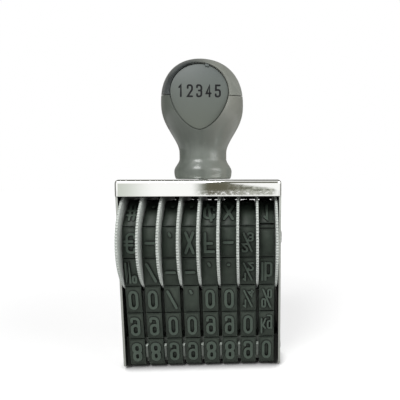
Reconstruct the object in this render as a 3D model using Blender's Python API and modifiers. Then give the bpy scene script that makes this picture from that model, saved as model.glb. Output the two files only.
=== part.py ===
"""Hand stamp with eight rubber number bands, in metres.

X runs across the bands, the front faces -Y and the stamp stands on its type at Z = 0. Each band
is a loop of cells that passes over a grooved drum and under a narrow bridge. A serrated thumb
disc on each drum turns it about the axle and brings the next character to the foot.
"""

from math import acos, cos, pi, sin, sqrt, tan

import bmesh
import bpy
from mathutils import Matrix, Vector

# Fits
SEAT_GAP = 0.0003
RUNNING_GAP = 0.00025
WELD = 0.000005
OVERRUN = 0.002

# Number bands
BAND_COUNT = 8
BAND_PITCH = 0.00785
CELL_PITCH = 0.012
CELLS_ON_SIDE = 4
CELLS_PER_TURN = 8
CELL_GROOVE = 0.0005
BAND_BACKING = 0.0010
BLOCK_RISE = 0.0007
TYPE_RISE = 0.0007
TYPE_MARGIN = 0.0008
TYPE_DRAFT = 0.0002

# Number wheels
DISC_THICKNESS = 0.0010
DISC_RADIUS = 0.0226
SERRATION_COUNT = 56
SERRATION_DEPTH = 0.0004
GRIP_COUNT = 16
GRIP_DEPTH = 0.0005

# Axle
AXLE_RADIUS = 0.0020
AXLE_HEAD_RADIUS = 0.0042
AXLE_HEAD_RISE = 0.0012
UPSET_RADIUS = 0.0030
UPSET_RISE = 0.0005
WASHER_THICKNESS = 0.0004

# Frame, one sheet pressed into a tray with two tapering cheeks
SHEET = 0.0010
CHEEK_GAP = 0.0006
TOP_GAP = 0.0020
SKIRT_HEIGHT = 0.0068
REAR_SKIRT_DROP = 0.0022
SKIRT_HALF_DEPTH = 0.0172
CORNER_RADIUS = 0.0016
CHEEK_LIFT = 0.0007
CHEEK_FOOT_HALF_DEPTH = 0.0085
CHEEK_FOOT_RADIUS = 0.0020

# Bridge
BRIDGE_TOP = 0.0135
BRIDGE_WEB = 0.0012
WEB_GAP = 0.0012
FIN_BOTTOM = 0.0043
FIN_TOP = 0.0111
FIN_CORNER = 0.0008
FIN_SETBACK = 0.0002
END_PLATE_HALF_DEPTH = 0.0074
RIVET_HEIGHT = 0.0080
RIVET_SPACING = 0.0070
RIVET_RADIUS = 0.0010
RIVET_HEAD_RADIUS = 0.0020
RIVET_HEAD_RISE = 0.0007
RIVET_GRIP = 0.0030

# Handle stud
STUD_RADIUS = 0.0020
STUD_HEAD_RADIUS = 0.0040
STUD_HEAD_THICKNESS = 0.0006
COLLAR_RADIUS = 0.0050
COLLAR_THICKNESS = 0.0012
STUD_REACH = 0.0160

# Handle
BEAD_BASE_RADIUS = 0.0115
BEAD_RADIUS = 0.0125
BELLY_HEIGHT = 0.0034
BEAD_HEIGHT = 0.0088
NECK_RADIUS = 0.0102
NECK_HEIGHT = 0.0115
BULB_RADIUS = 0.0177
BULB_HEIGHT = 0.0328
FLANK_POWER_SHARE = 1.3
CROWN_RISE = 0.0188
CROWN_POWER_SHARE = 2.3
SEAM_RISE = 0.0036
SEAM_LEAN_SHARE = 0.18
CROWN_WALL = 0.0015
FACET_CUT = 0.0054
FACET_LEAN_SHARE = 0.06
LABEL_HALF_WIDTH = 0.0118
LABEL_LIFT = 0.0029
LABEL_CROWN = 0.0115
LABEL_RIM = 0.0006
LABEL_DROP = 0.0153
LABEL_POINT_SHARE = 1.65
LABEL_FLANK_SHARE = 0.6
LABEL_THICKNESS = 0.0007
LABEL_SINK = 0.0002

# Smoothness of the round pieces
TURNED_STEPS = 30
HOLE_STEPS = 14
DOME_STEPS = 7
FLANK_STEPS = 7
BEAD_STEPS = 5
HEAD_STEPS = 3
STRAIGHT_ANGLE = pi / 180
SMOOTH_ANGLE = pi / 6
OPEN_BEND_ANGLE = pi / 3

# Sizes worked out from the ones above
SIDE_ANGLE = 2 * pi / CELLS_PER_TURN
BAND_WIDTH = BAND_PITCH - DISC_THICKNESS - 2 * RUNNING_GAP
BAND_THICKNESS = BAND_BACKING + BLOCK_RISE + TYPE_RISE
BAND_APOTHEM = CELL_PITCH / (2 * tan(SIDE_ANGLE / 2))
HALF_CELL = CELL_PITCH / 2
STRAIGHT = CELLS_ON_SIDE * CELL_PITCH
SPREAD = BAND_APOTHEM - HALF_CELL
DROP = sqrt(STRAIGHT * STRAIGHT - SPREAD * SPREAD)
AXLE_HEIGHT = BAND_THICKNESS + DROP + HALF_CELL
DRUM_RADIUS = BAND_APOTHEM - SEAT_GAP
DISC_OFFSET = BAND_PITCH * BAND_COUNT / 2
STACK_HALF_WIDTH = DISC_OFFSET + DISC_THICKNESS / 2
CHEEK_INSIDE = STACK_HALF_WIDTH + CHEEK_GAP
FRAME_HALF_WIDTH = CHEEK_INSIDE + SHEET
FRAME_TOP = AXLE_HEIGHT + DISC_RADIUS + TOP_GAP + SHEET
SKIRT_BOTTOM = FRAME_TOP - SKIRT_HEIGHT
HANDLE_BASE = FRAME_TOP + SEAT_GAP
BULB_CENTRE = HANDLE_BASE + BULB_HEIGHT
CROWN_TOP = BULB_CENTRE + CROWN_RISE
SEAM = BULB_CENTRE + SEAM_RISE
FACET_DEPTH = BULB_RADIUS - FACET_CUT
LABEL_FACE = FACET_DEPTH - LABEL_SINK
LABEL_BACK = LABEL_FACE - LABEL_THICKNESS
LABEL_CENTRE = BULB_CENTRE + LABEL_LIFT

# Ways to lay a flat or turned piece: its own axis across the stamp, or towards the front
ACROSS = Matrix(((0, 0, 1, 0), (1, 0, 0, 0), (0, 1, 0, 0), (0, 0, 0, 1)))
FRONTAL = Matrix(((1, 0, 0, 0), (0, 0, -1, 0), (0, 1, 0, 0), (0, 0, 0, 1)))
UPRIGHT = Matrix.Identity(4)


def clear_scene():
    for piece in list(bpy.data.objects):
        bpy.data.objects.remove(piece, do_unlink=True)
    for group in list(bpy.data.collections):
        bpy.data.collections.remove(group)


def new_collection(name):
    group = bpy.data.collections.new(name)
    bpy.context.scene.collection.children.link(group)
    return group


def new_material(name, colour, roughness, metallic=0.0):
    material = bpy.data.materials.new(name)
    material.use_nodes = True
    shader = material.node_tree.nodes["Principled BSDF"]
    shader.inputs["Base Color"].default_value = (*colour, 1.0)
    shader.inputs["Roughness"].default_value = roughness
    shader.inputs["Metallic"].default_value = metallic
    return material


def baked_mesh(piece):
    """The mesh of a piece with its modifiers applied; the piece itself is removed."""
    bpy.context.view_layer.update()
    evaluated = piece.evaluated_get(bpy.context.evaluated_depsgraph_get())
    mesh = bpy.data.meshes.new_from_object(evaluated)
    mesh.transform(piece.matrix_world)
    bpy.data.objects.remove(piece)
    shape = bmesh.new()
    shape.from_mesh(mesh)
    bmesh.ops.remove_doubles(shape, verts=shape.verts, dist=WELD)
    shape.to_mesh(mesh)
    shape.free()
    mesh.materials.clear()
    return mesh


def new_piece(name, mesh, group, material=None, place=(0, 0, 0)):
    piece = bpy.data.objects.new(name, mesh)
    piece.location = place
    group.objects.link(piece)
    if material:
        piece.data.materials.clear()
        piece.data.materials.append(material)
        mesh.shade_smooth()
        mesh.set_sharp_from_angle(angle=SMOOTH_ANGLE)
    return piece


def plate(outlines, thickness, lay=ACROSS, middle=0.0):
    """A flat piece between two parallel faces; outlines after the first are holes."""
    curve = bpy.data.curves.new("outline", "CURVE")
    curve.dimensions = "2D"
    curve.fill_mode = "BOTH"
    curve.extrude = thickness / 2
    for outline in outlines:
        spline = curve.splines.new("POLY")
        spline.points.add(len(outline) - 1)
        for point, place in zip(spline.points, outline):
            point.co = (place[0], place[1], 0, 1)
        spline.use_cyclic_u = True
    piece = new_piece("outline", curve, workbench)
    piece.matrix_world = lay @ Matrix.Translation((0, 0, middle))
    mesh = baked_mesh(piece)
    bpy.data.curves.remove(curve)
    return mesh


def turned(profile, lay=UPRIGHT, closed=False, steps=TURNED_STEPS):
    """A turned piece; the profile holds (radius, height) pairs, down its outer side."""
    mesh = bpy.data.meshes.new("profile")
    count = len(profile)
    links = count if closed else count - 1
    edges = [(index, (index + 1) % count) for index in range(links)]
    mesh.from_pydata([(radius, 0, height) for radius, height in profile], edges, [])
    piece = new_piece("profile", mesh, workbench)
    piece.matrix_world = lay
    screw = piece.modifiers.new("turn", "SCREW")
    screw.steps = steps
    screw.render_steps = steps
    screw.use_merge_vertices = True
    screw.merge_threshold = WELD
    return baked_mesh(piece)


def rod(radius, start, end, lay=ACROSS, steps=HOLE_STEPS):
    return turned([(0, end), (radius, end), (radius, start), (0, start)], lay, steps=steps)


def box(low, high):
    shape = bmesh.new()
    bmesh.ops.create_cube(shape, size=1.0)
    low, high = Vector(low), Vector(high)
    bmesh.ops.scale(shape, vec=high - low, verts=shape.verts)
    bmesh.ops.translate(shape, vec=(low + high) / 2, verts=shape.verts)
    mesh = bpy.data.meshes.new("box")
    shape.to_mesh(mesh)
    shape.free()
    return mesh


def merged(meshes):
    """Several separate bodies in one mesh."""
    shape = bmesh.new()
    for mesh in meshes:
        shape.from_mesh(mesh)
    result = bpy.data.meshes.new("bodies")
    shape.to_mesh(result)
    shape.free()
    return result


def combine(mesh, other, operation):
    """The mesh cut by, joined to or kept inside the other one."""
    piece = new_piece("blank", mesh, workbench)
    tool = new_piece("tool", other, cutters)
    tool.hide_render = True
    tool.display_type = "WIRE"
    step = piece.modifiers.new(operation.lower(), "BOOLEAN")
    step.operation = operation
    step.object = tool
    result = baked_mesh(piece)
    bpy.data.objects.remove(tool)
    return result


def circle(radius, centre=(0, 0), steps=HOLE_STEPS):
    angles = [2 * pi * step / steps for step in range(steps)]
    return [(centre[0] + radius * cos(a), centre[1] + radius * sin(a)) for a in angles]


def moved(mesh, shift):
    copy = mesh.copy()
    copy.transform(Matrix.Translation(shift))
    return copy


# Number bands


def band_corners():
    """Corners of a band's inner face as (Y, Z), one cell apart, from the lower front one."""
    corners = [Vector((-HALF_CELL, BAND_THICKNESS)), Vector((HALF_CELL, BAND_THICKNESS))]
    foot, shoulder = corners[1], Vector((BAND_APOTHEM, AXLE_HEIGHT - HALF_CELL))
    climb = [foot.lerp(shoulder, step / CELLS_ON_SIDE) for step in range(1, CELLS_ON_SIDE + 1)]
    radius = BAND_APOTHEM / cos(SIDE_ANGLE / 2)
    turns = [SIDE_ANGLE * (side - 0.5) for side in range(1, CELLS_PER_TURN // 2 + 1)]
    over = [Vector((radius * cos(a), AXLE_HEIGHT + radius * sin(a))) for a in turns]
    descent = [Vector((-point.x, point.y)) for point in reversed(climb)]
    return corners + climb + over + descent


def cells(corners):
    """Start, end, direction and outward normal of each cell."""
    result = []
    for start, end in zip(corners, corners[1:] + corners[:1]):
        along = (end - start).normalized()
        result.append((start, end, along, Vector((along.y, -along.x))))
    return result


def bends(cell_list):
    """The corner before each cell, with the two normals there, or None on a straight run."""
    result = []
    for before, cell in zip(cell_list[-1:] + cell_list[:-1], cell_list):
        straight = before[3].angle(cell[3]) < STRAIGHT_ANGLE
        result.append(None if straight else (cell[0], before[3], cell[3]))
    return result


def mitre(corner, first, second, distance):
    return corner + (first + second) * (distance / (1 + first.dot(second)))


def block_walls(cell_list):
    """Foot and top of the two end walls of each block, before and after its cell.

    Over the drum the walls of neighbours lean together and leave a narrow groove. At
    the sharp bends of the foot they stay square, and the blocks part.
    """
    result = []
    count = len(cell_list)
    for index, (start, end, along, out) in enumerate(cell_list):
        bends_here = [cell_list[index - 1][3].angle(out),
                      cell_list[(index + 1) % count][3].angle(out)]
        leans = [tan(bend / 2) if bend < OPEN_BEND_ANGLE else 0 for bend in bends_here]
        walls = []
        for place, way, lean in ((start, along, leans[0]), (end, -along, leans[1])):
            walls.append([
                place + out * rise + way * (CELL_GROOVE / 2 - rise * lean)
                for rise in (BAND_BACKING, BAND_BACKING + BLOCK_RISE)
            ])
        result.append(walls)
    return result


def band_outlines(corners):
    """Outer outline with a raised block on each cell, and the smooth inner one."""
    cell_list = cells(corners)
    outer, inner = [], []
    for bend, (near, far) in zip(bends(cell_list), block_walls(cell_list)):
        if bend:
            inner.append(bend[0])
            outer.append(mitre(*bend, BAND_BACKING))
        outer += near + far[::-1]
    return outer, inner


def raise_type(mesh, corners):
    """Raises a tapering plinth, the room of one character, on each block."""
    tops = []
    for near, far in block_walls(cells(corners)):
        middle = (near[1] + far[1]) / 2
        tops.append(Vector((0, middle.x, middle.y)))
    shape = bmesh.new()
    shape.from_mesh(mesh)
    near = WELD * 10
    blocks = [
        face for face in shape.faces
        if any((face.calc_center_median() - top).length < near for top in tops)
    ]
    bmesh.ops.inset_individual(shape, faces=blocks, thickness=TYPE_MARGIN, use_even_offset=True)
    bmesh.ops.inset_individual(
        shape, faces=blocks, thickness=TYPE_DRAFT, depth=TYPE_RISE, use_even_offset=True
    )
    shape.to_mesh(mesh)
    shape.free()
    return mesh


def build_bands(group, material):
    corners = band_corners()
    mesh = raise_type(plate(band_outlines(corners), BAND_WIDTH), corners)
    for number in range(BAND_COUNT):
        place = ((number + 0.5) * BAND_PITCH - DISC_OFFSET, 0, 0)
        new_piece(f"number_band_{number + 1}", mesh, group, material, place)


# Number wheels


def toothed_outline(radius, count, depth):
    """A round outline with a crest and a root for each tooth."""
    outline = []
    for step in range(2 * count):
        reach = radius - depth * (step % 2)
        angle = pi * step / count
        outline.append((reach * cos(angle), reach * sin(angle)))
    return outline


def build_wheels(group, material):
    bore_radius = AXLE_RADIUS + SEAT_GAP
    drum_end = BAND_PITCH - DISC_THICKNESS / 2 - RUNNING_GAP
    rim = toothed_outline(DISC_RADIUS, SERRATION_COUNT, SERRATION_DEPTH)
    grip = toothed_outline(DRUM_RADIUS, GRIP_COUNT, GRIP_DEPTH)
    disc = plate([rim], DISC_THICKNESS)
    drum = plate([grip], drum_end, middle=drum_end / 2)
    bore = rod(bore_radius, -BAND_PITCH, BAND_PITCH)
    wheel = combine(combine(disc, drum, "UNION"), bore, "DIFFERENCE")
    for number in range(BAND_COUNT):
        place = (number * BAND_PITCH - DISC_OFFSET, 0, AXLE_HEIGHT)
        new_piece(f"number_wheel_{number + 1}", wheel, group, material, place)
    last = plate([rim, circle(bore_radius)], DISC_THICKNESS)
    new_piece("end_disc", last, group, material, (DISC_OFFSET, 0, AXLE_HEIGHT))


# Axle


def dome(radius, base, rise):
    """Profile of a low domed head, from its crown down to its rim."""
    turns = [pi / 2 * step / HEAD_STEPS for step in range(HEAD_STEPS + 1)]
    return [(radius * sin(a), base + rise * cos(a)) for a in turns]


def build_axle(group, material):
    head_seat = FRAME_HALF_WIDTH + SEAT_GAP
    washer_seat = head_seat + WASHER_THICKNESS
    upset_seat = washer_seat + SEAT_GAP
    upset_dome = dome(UPSET_RADIUS, upset_seat, UPSET_RISE)
    upset = [(radius, -height) for radius, height in upset_dome]
    profile = dome(AXLE_HEAD_RADIUS, head_seat, AXLE_HEAD_RISE)
    profile += [(AXLE_RADIUS, head_seat), (AXLE_RADIUS, -upset_seat)]
    profile += reversed(upset)
    axle = turned(profile, ACROSS, steps=HOLE_STEPS)
    new_piece("axle", axle, group, material, (0, 0, AXLE_HEIGHT))
    inside = AXLE_RADIUS + SEAT_GAP
    ring = [
        (AXLE_HEAD_RADIUS, -head_seat), (AXLE_HEAD_RADIUS, -washer_seat),
        (inside, -washer_seat), (inside, -head_seat),
    ]
    washer = turned(ring, ACROSS, closed=True, steps=HOLE_STEPS)
    new_piece("axle_washer", washer, group, material, (0, 0, AXLE_HEIGHT))


# Frame


def rivet_places():
    return [(side * RIVET_SPACING / 2, RIVET_HEIGHT) for side in (-1, 1)]


def pressed_skin():
    """Outer skin of the frame: a tray turned down, with a cheek drawn from each end."""
    shape = bmesh.new()
    shape.from_mesh(box(
        (-FRAME_HALF_WIDTH, -SKIRT_HALF_DEPTH, SKIRT_BOTTOM),
        (FRAME_HALF_WIDTH, SKIRT_HALF_DEPTH, FRAME_TOP),
    ))
    floor = [face for face in shape.faces if face.normal.z < -0.5]
    for vert in floor[0].verts:
        if vert.co.y > 0:
            vert.co.z -= REAR_SKIRT_DROP
    bmesh.ops.delete(shape, geom=floor, context="FACES_ONLY")
    folds = [edge for edge in shape.edges if not edge.is_boundary]
    bmesh.ops.bevel(
        shape, geom=folds, offset=CORNER_RADIUS, segments=3, profile=0.5, affect="EDGES",
        clamp_overlap=True,
    )
    limit = FRAME_HALF_WIDTH - WELD
    ends = [
        edge for edge in shape.edges
        if edge.is_boundary and all(abs(vert.co.x) > limit for vert in edge.verts)
    ]
    drawn = bmesh.ops.extrude_edge_only(shape, edges=ends)["geom"]
    feet = [item for item in drawn if isinstance(item, bmesh.types.BMVert)]
    for vert in feet:
        side = 1 if vert.co.y > 0 else -1
        vert.co.y = side * CHEEK_FOOT_HALF_DEPTH
        vert.co.z = CHEEK_LIFT
    bmesh.ops.bevel(
        shape, geom=feet, offset=CHEEK_FOOT_RADIUS, segments=3, profile=0.5, affect="VERTICES"
    )
    mesh = bpy.data.meshes.new("skin")
    shape.to_mesh(mesh)
    shape.free()
    return mesh


def build_frame(group, material):
    blank = new_piece("blank", pressed_skin(), workbench)
    solidify = blank.modifiers.new("sheet", "SOLIDIFY")
    solidify.thickness = SHEET
    solidify.offset = -1.0
    solidify.use_even_offset = True
    reach = FRAME_HALF_WIDTH + OVERRUN
    bores = [moved(rod(AXLE_RADIUS + SEAT_GAP, -reach, reach), (0, 0, AXLE_HEIGHT))]
    for place in rivet_places():
        bores.append(moved(rod(RIVET_RADIUS + SEAT_GAP, -reach, reach), (0, *place)))
    bores.append(rod(STUD_RADIUS + SEAT_GAP, SKIRT_BOTTOM, FRAME_TOP + OVERRUN, UPRIGHT))
    frame = combine(baked_mesh(blank), merged(bores), "DIFFERENCE")
    new_piece("frame", frame, group, material)


# Bridge


def loop_half_depth(height):
    """Half the distance between the two runs of a band's inner face."""
    return HALF_CELL + (height - BAND_THICKNESS) * SPREAD / DROP


def bar_outline():
    """The bar under the bands with an upright web that reaches up between their two runs."""
    slant = STRAIGHT / DROP
    low = BAND_THICKNESS + SEAT_GAP
    wide = loop_half_depth(BRIDGE_TOP) - SEAT_GAP * slant
    narrow = loop_half_depth(low) - SEAT_GAP * slant
    web_top = AXLE_HEIGHT - DISC_RADIUS - WEB_GAP
    half_web = BRIDGE_WEB / 2
    right = [(narrow, low), (wide, BRIDGE_TOP), (half_web, BRIDGE_TOP), (half_web, web_top)]
    return right + [(-y, z) for y, z in reversed(right)]


def fin_outline():
    """A guide fin, with cut corners, that stands between two bands up to their blocks."""
    reach = BAND_BACKING + BLOCK_RISE - FIN_SETBACK
    low = loop_half_depth(FIN_BOTTOM) + reach
    high = loop_half_depth(FIN_TOP) + reach
    right = [
        (low - FIN_CORNER, FIN_BOTTOM), (low, FIN_BOTTOM + FIN_CORNER),
        (high, FIN_TOP - FIN_CORNER), (high - FIN_CORNER, FIN_TOP),
    ]
    return right + [(-y, z) for y, z in reversed(right)]


def end_plate_outline():
    """The bridge's end, down to the foot of the cheek that it is riveted to."""
    top = BRIDGE_TOP + FIN_CORNER
    right = [
        (END_PLATE_HALF_DEPTH - FIN_CORNER, CHEEK_LIFT),
        (END_PLATE_HALF_DEPTH, CHEEK_LIFT + FIN_CORNER),
        (loop_half_depth(top), top),
    ]
    return right + [(-y, z) for y, z in reversed(right)]


def build_bridge(group, material):
    fin = BAND_PITCH - BAND_WIDTH - 2 * SEAT_GAP
    end = CHEEK_INSIDE - SEAT_GAP
    band_edge = DISC_OFFSET - (BAND_PITCH - BAND_WIDTH) / 2
    end_plate = end - band_edge - SEAT_GAP
    fins = [plate([fin_outline()], fin, middle=number * BAND_PITCH - DISC_OFFSET)
            for number in range(1, BAND_COUNT)]
    fins += [plate([end_plate_outline()], end_plate, middle=side * (end - end_plate / 2))
             for side in (-1, 1)]
    bar = plate([bar_outline()], 2 * end - end_plate)
    depth = RIVET_GRIP + SEAT_GAP
    holes = []
    for side in (-1, 1):
        for place in rivet_places():
            low, high = sorted((side * (end - depth), side * (end + OVERRUN)))
            holes.append(moved(rod(RIVET_RADIUS + SEAT_GAP, low, high), (0, *place)))
    comb = combine(bar, merged(fins), "UNION")
    new_piece("bridge", combine(comb, merged(holes), "DIFFERENCE"), group, material)


def build_rivets(group, material):
    seat = FRAME_HALF_WIDTH + SEAT_GAP
    tip = CHEEK_INSIDE - SEAT_GAP - RIVET_GRIP
    profile = dome(RIVET_HEAD_RADIUS, seat, RIVET_HEAD_RISE)
    profile += [(RIVET_RADIUS, seat), (RIVET_RADIUS, tip), (0, tip)]
    right = turned(profile, ACROSS, steps=HOLE_STEPS)
    left = right.copy()
    left.transform(Matrix.Rotation(pi, 4, "Z"))
    rivets = [(blank, place) for blank in (left, right) for place in rivet_places()]
    for number, (blank, place) in enumerate(rivets):
        new_piece(f"bridge_rivet_{number + 1}", blank, group, material, (0, *place))


# Handle


def eased(share):
    return share * share * (3 - 2 * share)


def bulb_radius(height):
    """Outer radius of the bulb and its flank at a height above the neck."""
    rise = height - BULB_CENTRE
    if rise > 0:
        share = min(1.0, rise / CROWN_RISE) ** CROWN_POWER_SHARE
        return BULB_RADIUS * (1 - share) ** (1 / CROWN_POWER_SHARE)
    share = min(1.0, -rise / (BULB_HEIGHT - NECK_HEIGHT)) ** FLANK_POWER_SHARE
    return BULB_RADIUS - (BULB_RADIUS - NECK_RADIUS) * eased(share)


def dome_profile(wall, low):
    """The crown, less a wall, from its top down to a height."""
    radius, rise = BULB_RADIUS - wall, CROWN_RISE - wall
    power = 2 / CROWN_POWER_SHARE
    last = acos(((low - BULB_CENTRE) / rise) ** (1 / power))
    turns = [last * step / DOME_STEPS for step in range(DOME_STEPS + 1)]
    return [(radius * sin(a) ** power, BULB_CENTRE + rise * cos(a) ** power) for a in turns]


def flank_profile():
    neck = HANDLE_BASE + NECK_HEIGHT
    steps = range(FLANK_STEPS + 1)
    heights = [BULB_CENTRE + (neck - BULB_CENTRE) * step / FLANK_STEPS for step in steps]
    return [(bulb_radius(height), height) for height in heights]


def bead_profile():
    """Round bead at the handle's foot, from the neck down to the base."""
    profile = []
    for step in range(BEAD_STEPS + 1):
        share = step / BEAD_STEPS
        swell = (BEAD_RADIUS - NECK_RADIUS) * eased(share)
        height = BEAD_HEIGHT + (BELLY_HEIGHT - BEAD_HEIGHT) * share
        profile.append((NECK_RADIUS + swell, HANDLE_BASE + height))
    for step in range(1, HEAD_STEPS + 1):
        turn = pi / 2 * step / HEAD_STEPS
        radius = BEAD_BASE_RADIUS + (BEAD_RADIUS - BEAD_BASE_RADIUS) * cos(turn)
        profile.append((radius, HANDLE_BASE + BELLY_HEIGHT * (1 - sin(turn))))
    return profile + [(0, HANDLE_BASE)]


def lean_back(mesh):
    """Shears an upright front piece to the lean of the facet."""
    lean = Matrix.Identity(4)
    lean[1][2] = FACET_LEAN_SHARE
    lean[1][3] = -FACET_LEAN_SHARE * BULB_CENTRE
    mesh.transform(lean)
    return mesh


def label_outline(margin):
    """Round above and drawn down to a blunt point, as (X, Z), with a margin all round."""
    width = LABEL_HALF_WIDTH + margin
    turns = [pi * step / (2 * DOME_STEPS) for step in range(1, 2 * DOME_STEPS)]
    right = []
    for turn in turns:
        share = cos(turn)
        if share > 0:
            across = width * (1 - share ** LABEL_POINT_SHARE) ** LABEL_FLANK_SHARE
            right.append((across, LABEL_CENTRE - (LABEL_DROP + margin) * share))
        else:
            right.append((width * sin(turn), LABEL_CENTRE - (LABEL_CROWN + margin) * share))
    tip, crown = LABEL_CENTRE - LABEL_DROP - margin, LABEL_CENTRE + LABEL_CROWN + margin
    return [(0, tip)] + right + [(0, crown)] + [(-x, z) for x, z in reversed(right)]


def label_prism(margin, back, front):
    outline = label_outline(margin)
    return lean_back(plate([outline], front - back, FRONTAL, (front + back) / 2))


def pocket():
    """The room cut in the bulb's front, down to the facet that the label lies in."""
    return label_prism(LABEL_RIM, FACET_DEPTH, BULB_RADIUS + OVERRUN)


def above_seam(gap):
    """All the room above the leaning plane of the seam, lifted by a gap."""
    reach = BULB_RADIUS + OVERRUN
    room = box((-reach, -reach, SEAM + gap), (reach, reach, CROWN_TOP + OVERRUN))
    lean = Matrix.Identity(4)
    lean[2][1] = SEAM_LEAN_SHARE
    room.transform(lean)
    return room


def crown_clearance():
    """The room that the crown cap takes from the handle, open where the label sits."""
    core = turned(dome_profile(CROWN_WALL + SEAT_GAP, BULB_CENTRE) + [(0, BULB_CENTRE)])
    shell = combine(above_seam(0), core, "DIFFERENCE")
    window = label_prism(0, 0, BULB_RADIUS + 2 * OVERRUN)
    return combine(shell, window, "DIFFERENCE")


def build_handle(group, material):
    body = turned(dome_profile(0, BULB_CENTRE) + flank_profile()[1:] + bead_profile())
    body = combine(body, crown_clearance(), "DIFFERENCE")
    body = combine(body, pocket(), "DIFFERENCE")
    recess = label_prism(SEAT_GAP, LABEL_BACK - SEAT_GAP, BULB_RADIUS + OVERRUN)
    body = combine(body, recess, "DIFFERENCE")
    seat = FRAME_TOP + 2 * SEAT_GAP + COLLAR_THICKNESS
    low = HANDLE_BASE - OVERRUN
    counterbore = rod(COLLAR_RADIUS + SEAT_GAP, low, seat + SEAT_GAP, UPRIGHT)
    bore = rod(STUD_RADIUS + SEAT_GAP, low, seat + STUD_REACH + SEAT_GAP, UPRIGHT)
    body = combine(body, combine(counterbore, bore, "UNION"), "DIFFERENCE")
    new_piece("handle", body, group, material)


def build_crown_cap(group, material):
    inner = reversed(dome_profile(CROWN_WALL, BULB_CENTRE))
    shell = turned(dome_profile(0, BULB_CENTRE) + list(inner))
    shell = combine(shell, above_seam(SEAT_GAP), "INTERSECT")
    shell = combine(shell, pocket(), "DIFFERENCE")
    window = label_prism(SEAT_GAP, 0, BULB_RADIUS + OVERRUN)
    new_piece("crown_cap", combine(shell, window, "DIFFERENCE"), group, material)


def build_label_plate(group, material):
    new_piece("label_plate", label_prism(0, LABEL_BACK, LABEL_FACE), group, material)


def build_stud(group, material):
    under = FRAME_TOP - SHEET - SEAT_GAP
    seat = FRAME_TOP + SEAT_GAP
    top = seat + COLLAR_THICKNESS
    profile = [
        (0, top + STUD_REACH), (STUD_RADIUS, top + STUD_REACH), (STUD_RADIUS, top),
        (COLLAR_RADIUS, top), (COLLAR_RADIUS, seat), (STUD_RADIUS, seat),
        (STUD_RADIUS, under), (STUD_HEAD_RADIUS, under),
        (STUD_HEAD_RADIUS, under - STUD_HEAD_THICKNESS), (0, under - STUD_HEAD_THICKNESS),
    ]
    new_piece("handle_stud", turned(profile, steps=HOLE_STEPS), group, material)


def build_stamp():
    group = new_collection("number_stamp")
    chrome = new_material("bright_chrome", (0.78, 0.79, 0.76), 0.12, 1.0)
    steel = new_material("bright_steel", (0.45, 0.46, 0.44), 0.35, 1.0)
    rubber = new_material("band_rubber", (0.050, 0.066, 0.057), 0.6)
    grey = new_material("wheel_grey_plastic", (0.43, 0.47, 0.43), 0.45)
    gloss = new_material("handle_grey_plastic", (0.14, 0.16, 0.14), 0.15)
    smoke = new_material("crown_smoke_plastic", (0.085, 0.080, 0.070), 0.12)
    card = new_material("label_grey_plastic", (0.17, 0.19, 0.18), 0.3)
    build_frame(group, chrome)
    build_axle(group, steel)
    build_wheels(group, grey)
    build_bands(group, rubber)
    build_bridge(group, steel)
    build_rivets(group, steel)
    build_stud(group, steel)
    build_handle(group, gloss)
    build_crown_cap(group, smoke)
    build_label_plate(group, card)


clear_scene()
workbench = new_collection("workbench")
cutters = new_collection("cutters")
build_stamp()
bpy.data.collections.remove(workbench)
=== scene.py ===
"""A number stamp with eight rubber bands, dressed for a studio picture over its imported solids."""

from math import acos, atan2, cos, pi, radians, sin, sqrt, tan

import bmesh
import bpy
from mathutils import Matrix, Vector


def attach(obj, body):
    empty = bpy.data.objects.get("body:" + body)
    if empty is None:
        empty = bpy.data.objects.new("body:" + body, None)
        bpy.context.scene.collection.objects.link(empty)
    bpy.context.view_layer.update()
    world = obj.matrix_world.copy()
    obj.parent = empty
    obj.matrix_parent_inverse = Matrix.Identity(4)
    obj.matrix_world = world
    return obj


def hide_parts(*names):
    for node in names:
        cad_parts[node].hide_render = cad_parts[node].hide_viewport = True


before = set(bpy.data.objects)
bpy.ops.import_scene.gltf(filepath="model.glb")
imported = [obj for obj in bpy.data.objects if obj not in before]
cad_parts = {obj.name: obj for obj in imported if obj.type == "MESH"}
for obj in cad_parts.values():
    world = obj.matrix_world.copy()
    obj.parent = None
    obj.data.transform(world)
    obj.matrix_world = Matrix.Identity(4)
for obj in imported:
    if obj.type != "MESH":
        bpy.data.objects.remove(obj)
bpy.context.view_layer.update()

# Fits, in metres like all sizes below
SEAT_GAP = 0.0003
RUNNING_GAP = 0.00025
WELD = 0.000005
OVERRUN = 0.002

# Number bands
BAND_COUNT = 8
BAND_PITCH = 0.00785
CELL_PITCH = 0.012
CELLS_ON_SIDE = 4
CELLS_PER_TURN = 8
CELL_GROOVE = 0.0005
BAND_BACKING = 0.0010
BACKING_EDGE = 0.0002
BLOCK_RISE = 0.0007
BLOCK_EDGE = 0.00032
PLINTH_RISE = 0.0002
PLINTH_MARGIN = 0.0005
TYPE_RISE = 0.0007
OPEN_BEND = radians(60)
SPLICED_BAND = 8
SPLICED_CELLS = (8, 9)
SPLICE = 0.0012

# Number wheels
DISC_THICKNESS = 0.0010
DISC_RADIUS = 0.0226
RIDGE_COUNT = 120
RIDGE_RADIUS = 0.00042
RIDGE_LENGTH_SHARE = 0.96
RIDGE_SIDES = 10
RIDGE_END_SHARE = 0.75
RIDGE_END_LENGTH_SHARE = 0.3
GRIP_COUNT = 16
GRIP_RADIUS = 0.0005
SUNK_SHARE = 0.8
BOSS_GAP = 0.00005

# Axle
AXLE_RADIUS = 0.0020
AXLE_HEAD_RADIUS = 0.0042
AXLE_HEAD_RISE = 0.0012
UPSET_RADIUS = 0.0030
UPSET_RISE = 0.0005
WASHER_THICKNESS = 0.0004

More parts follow.
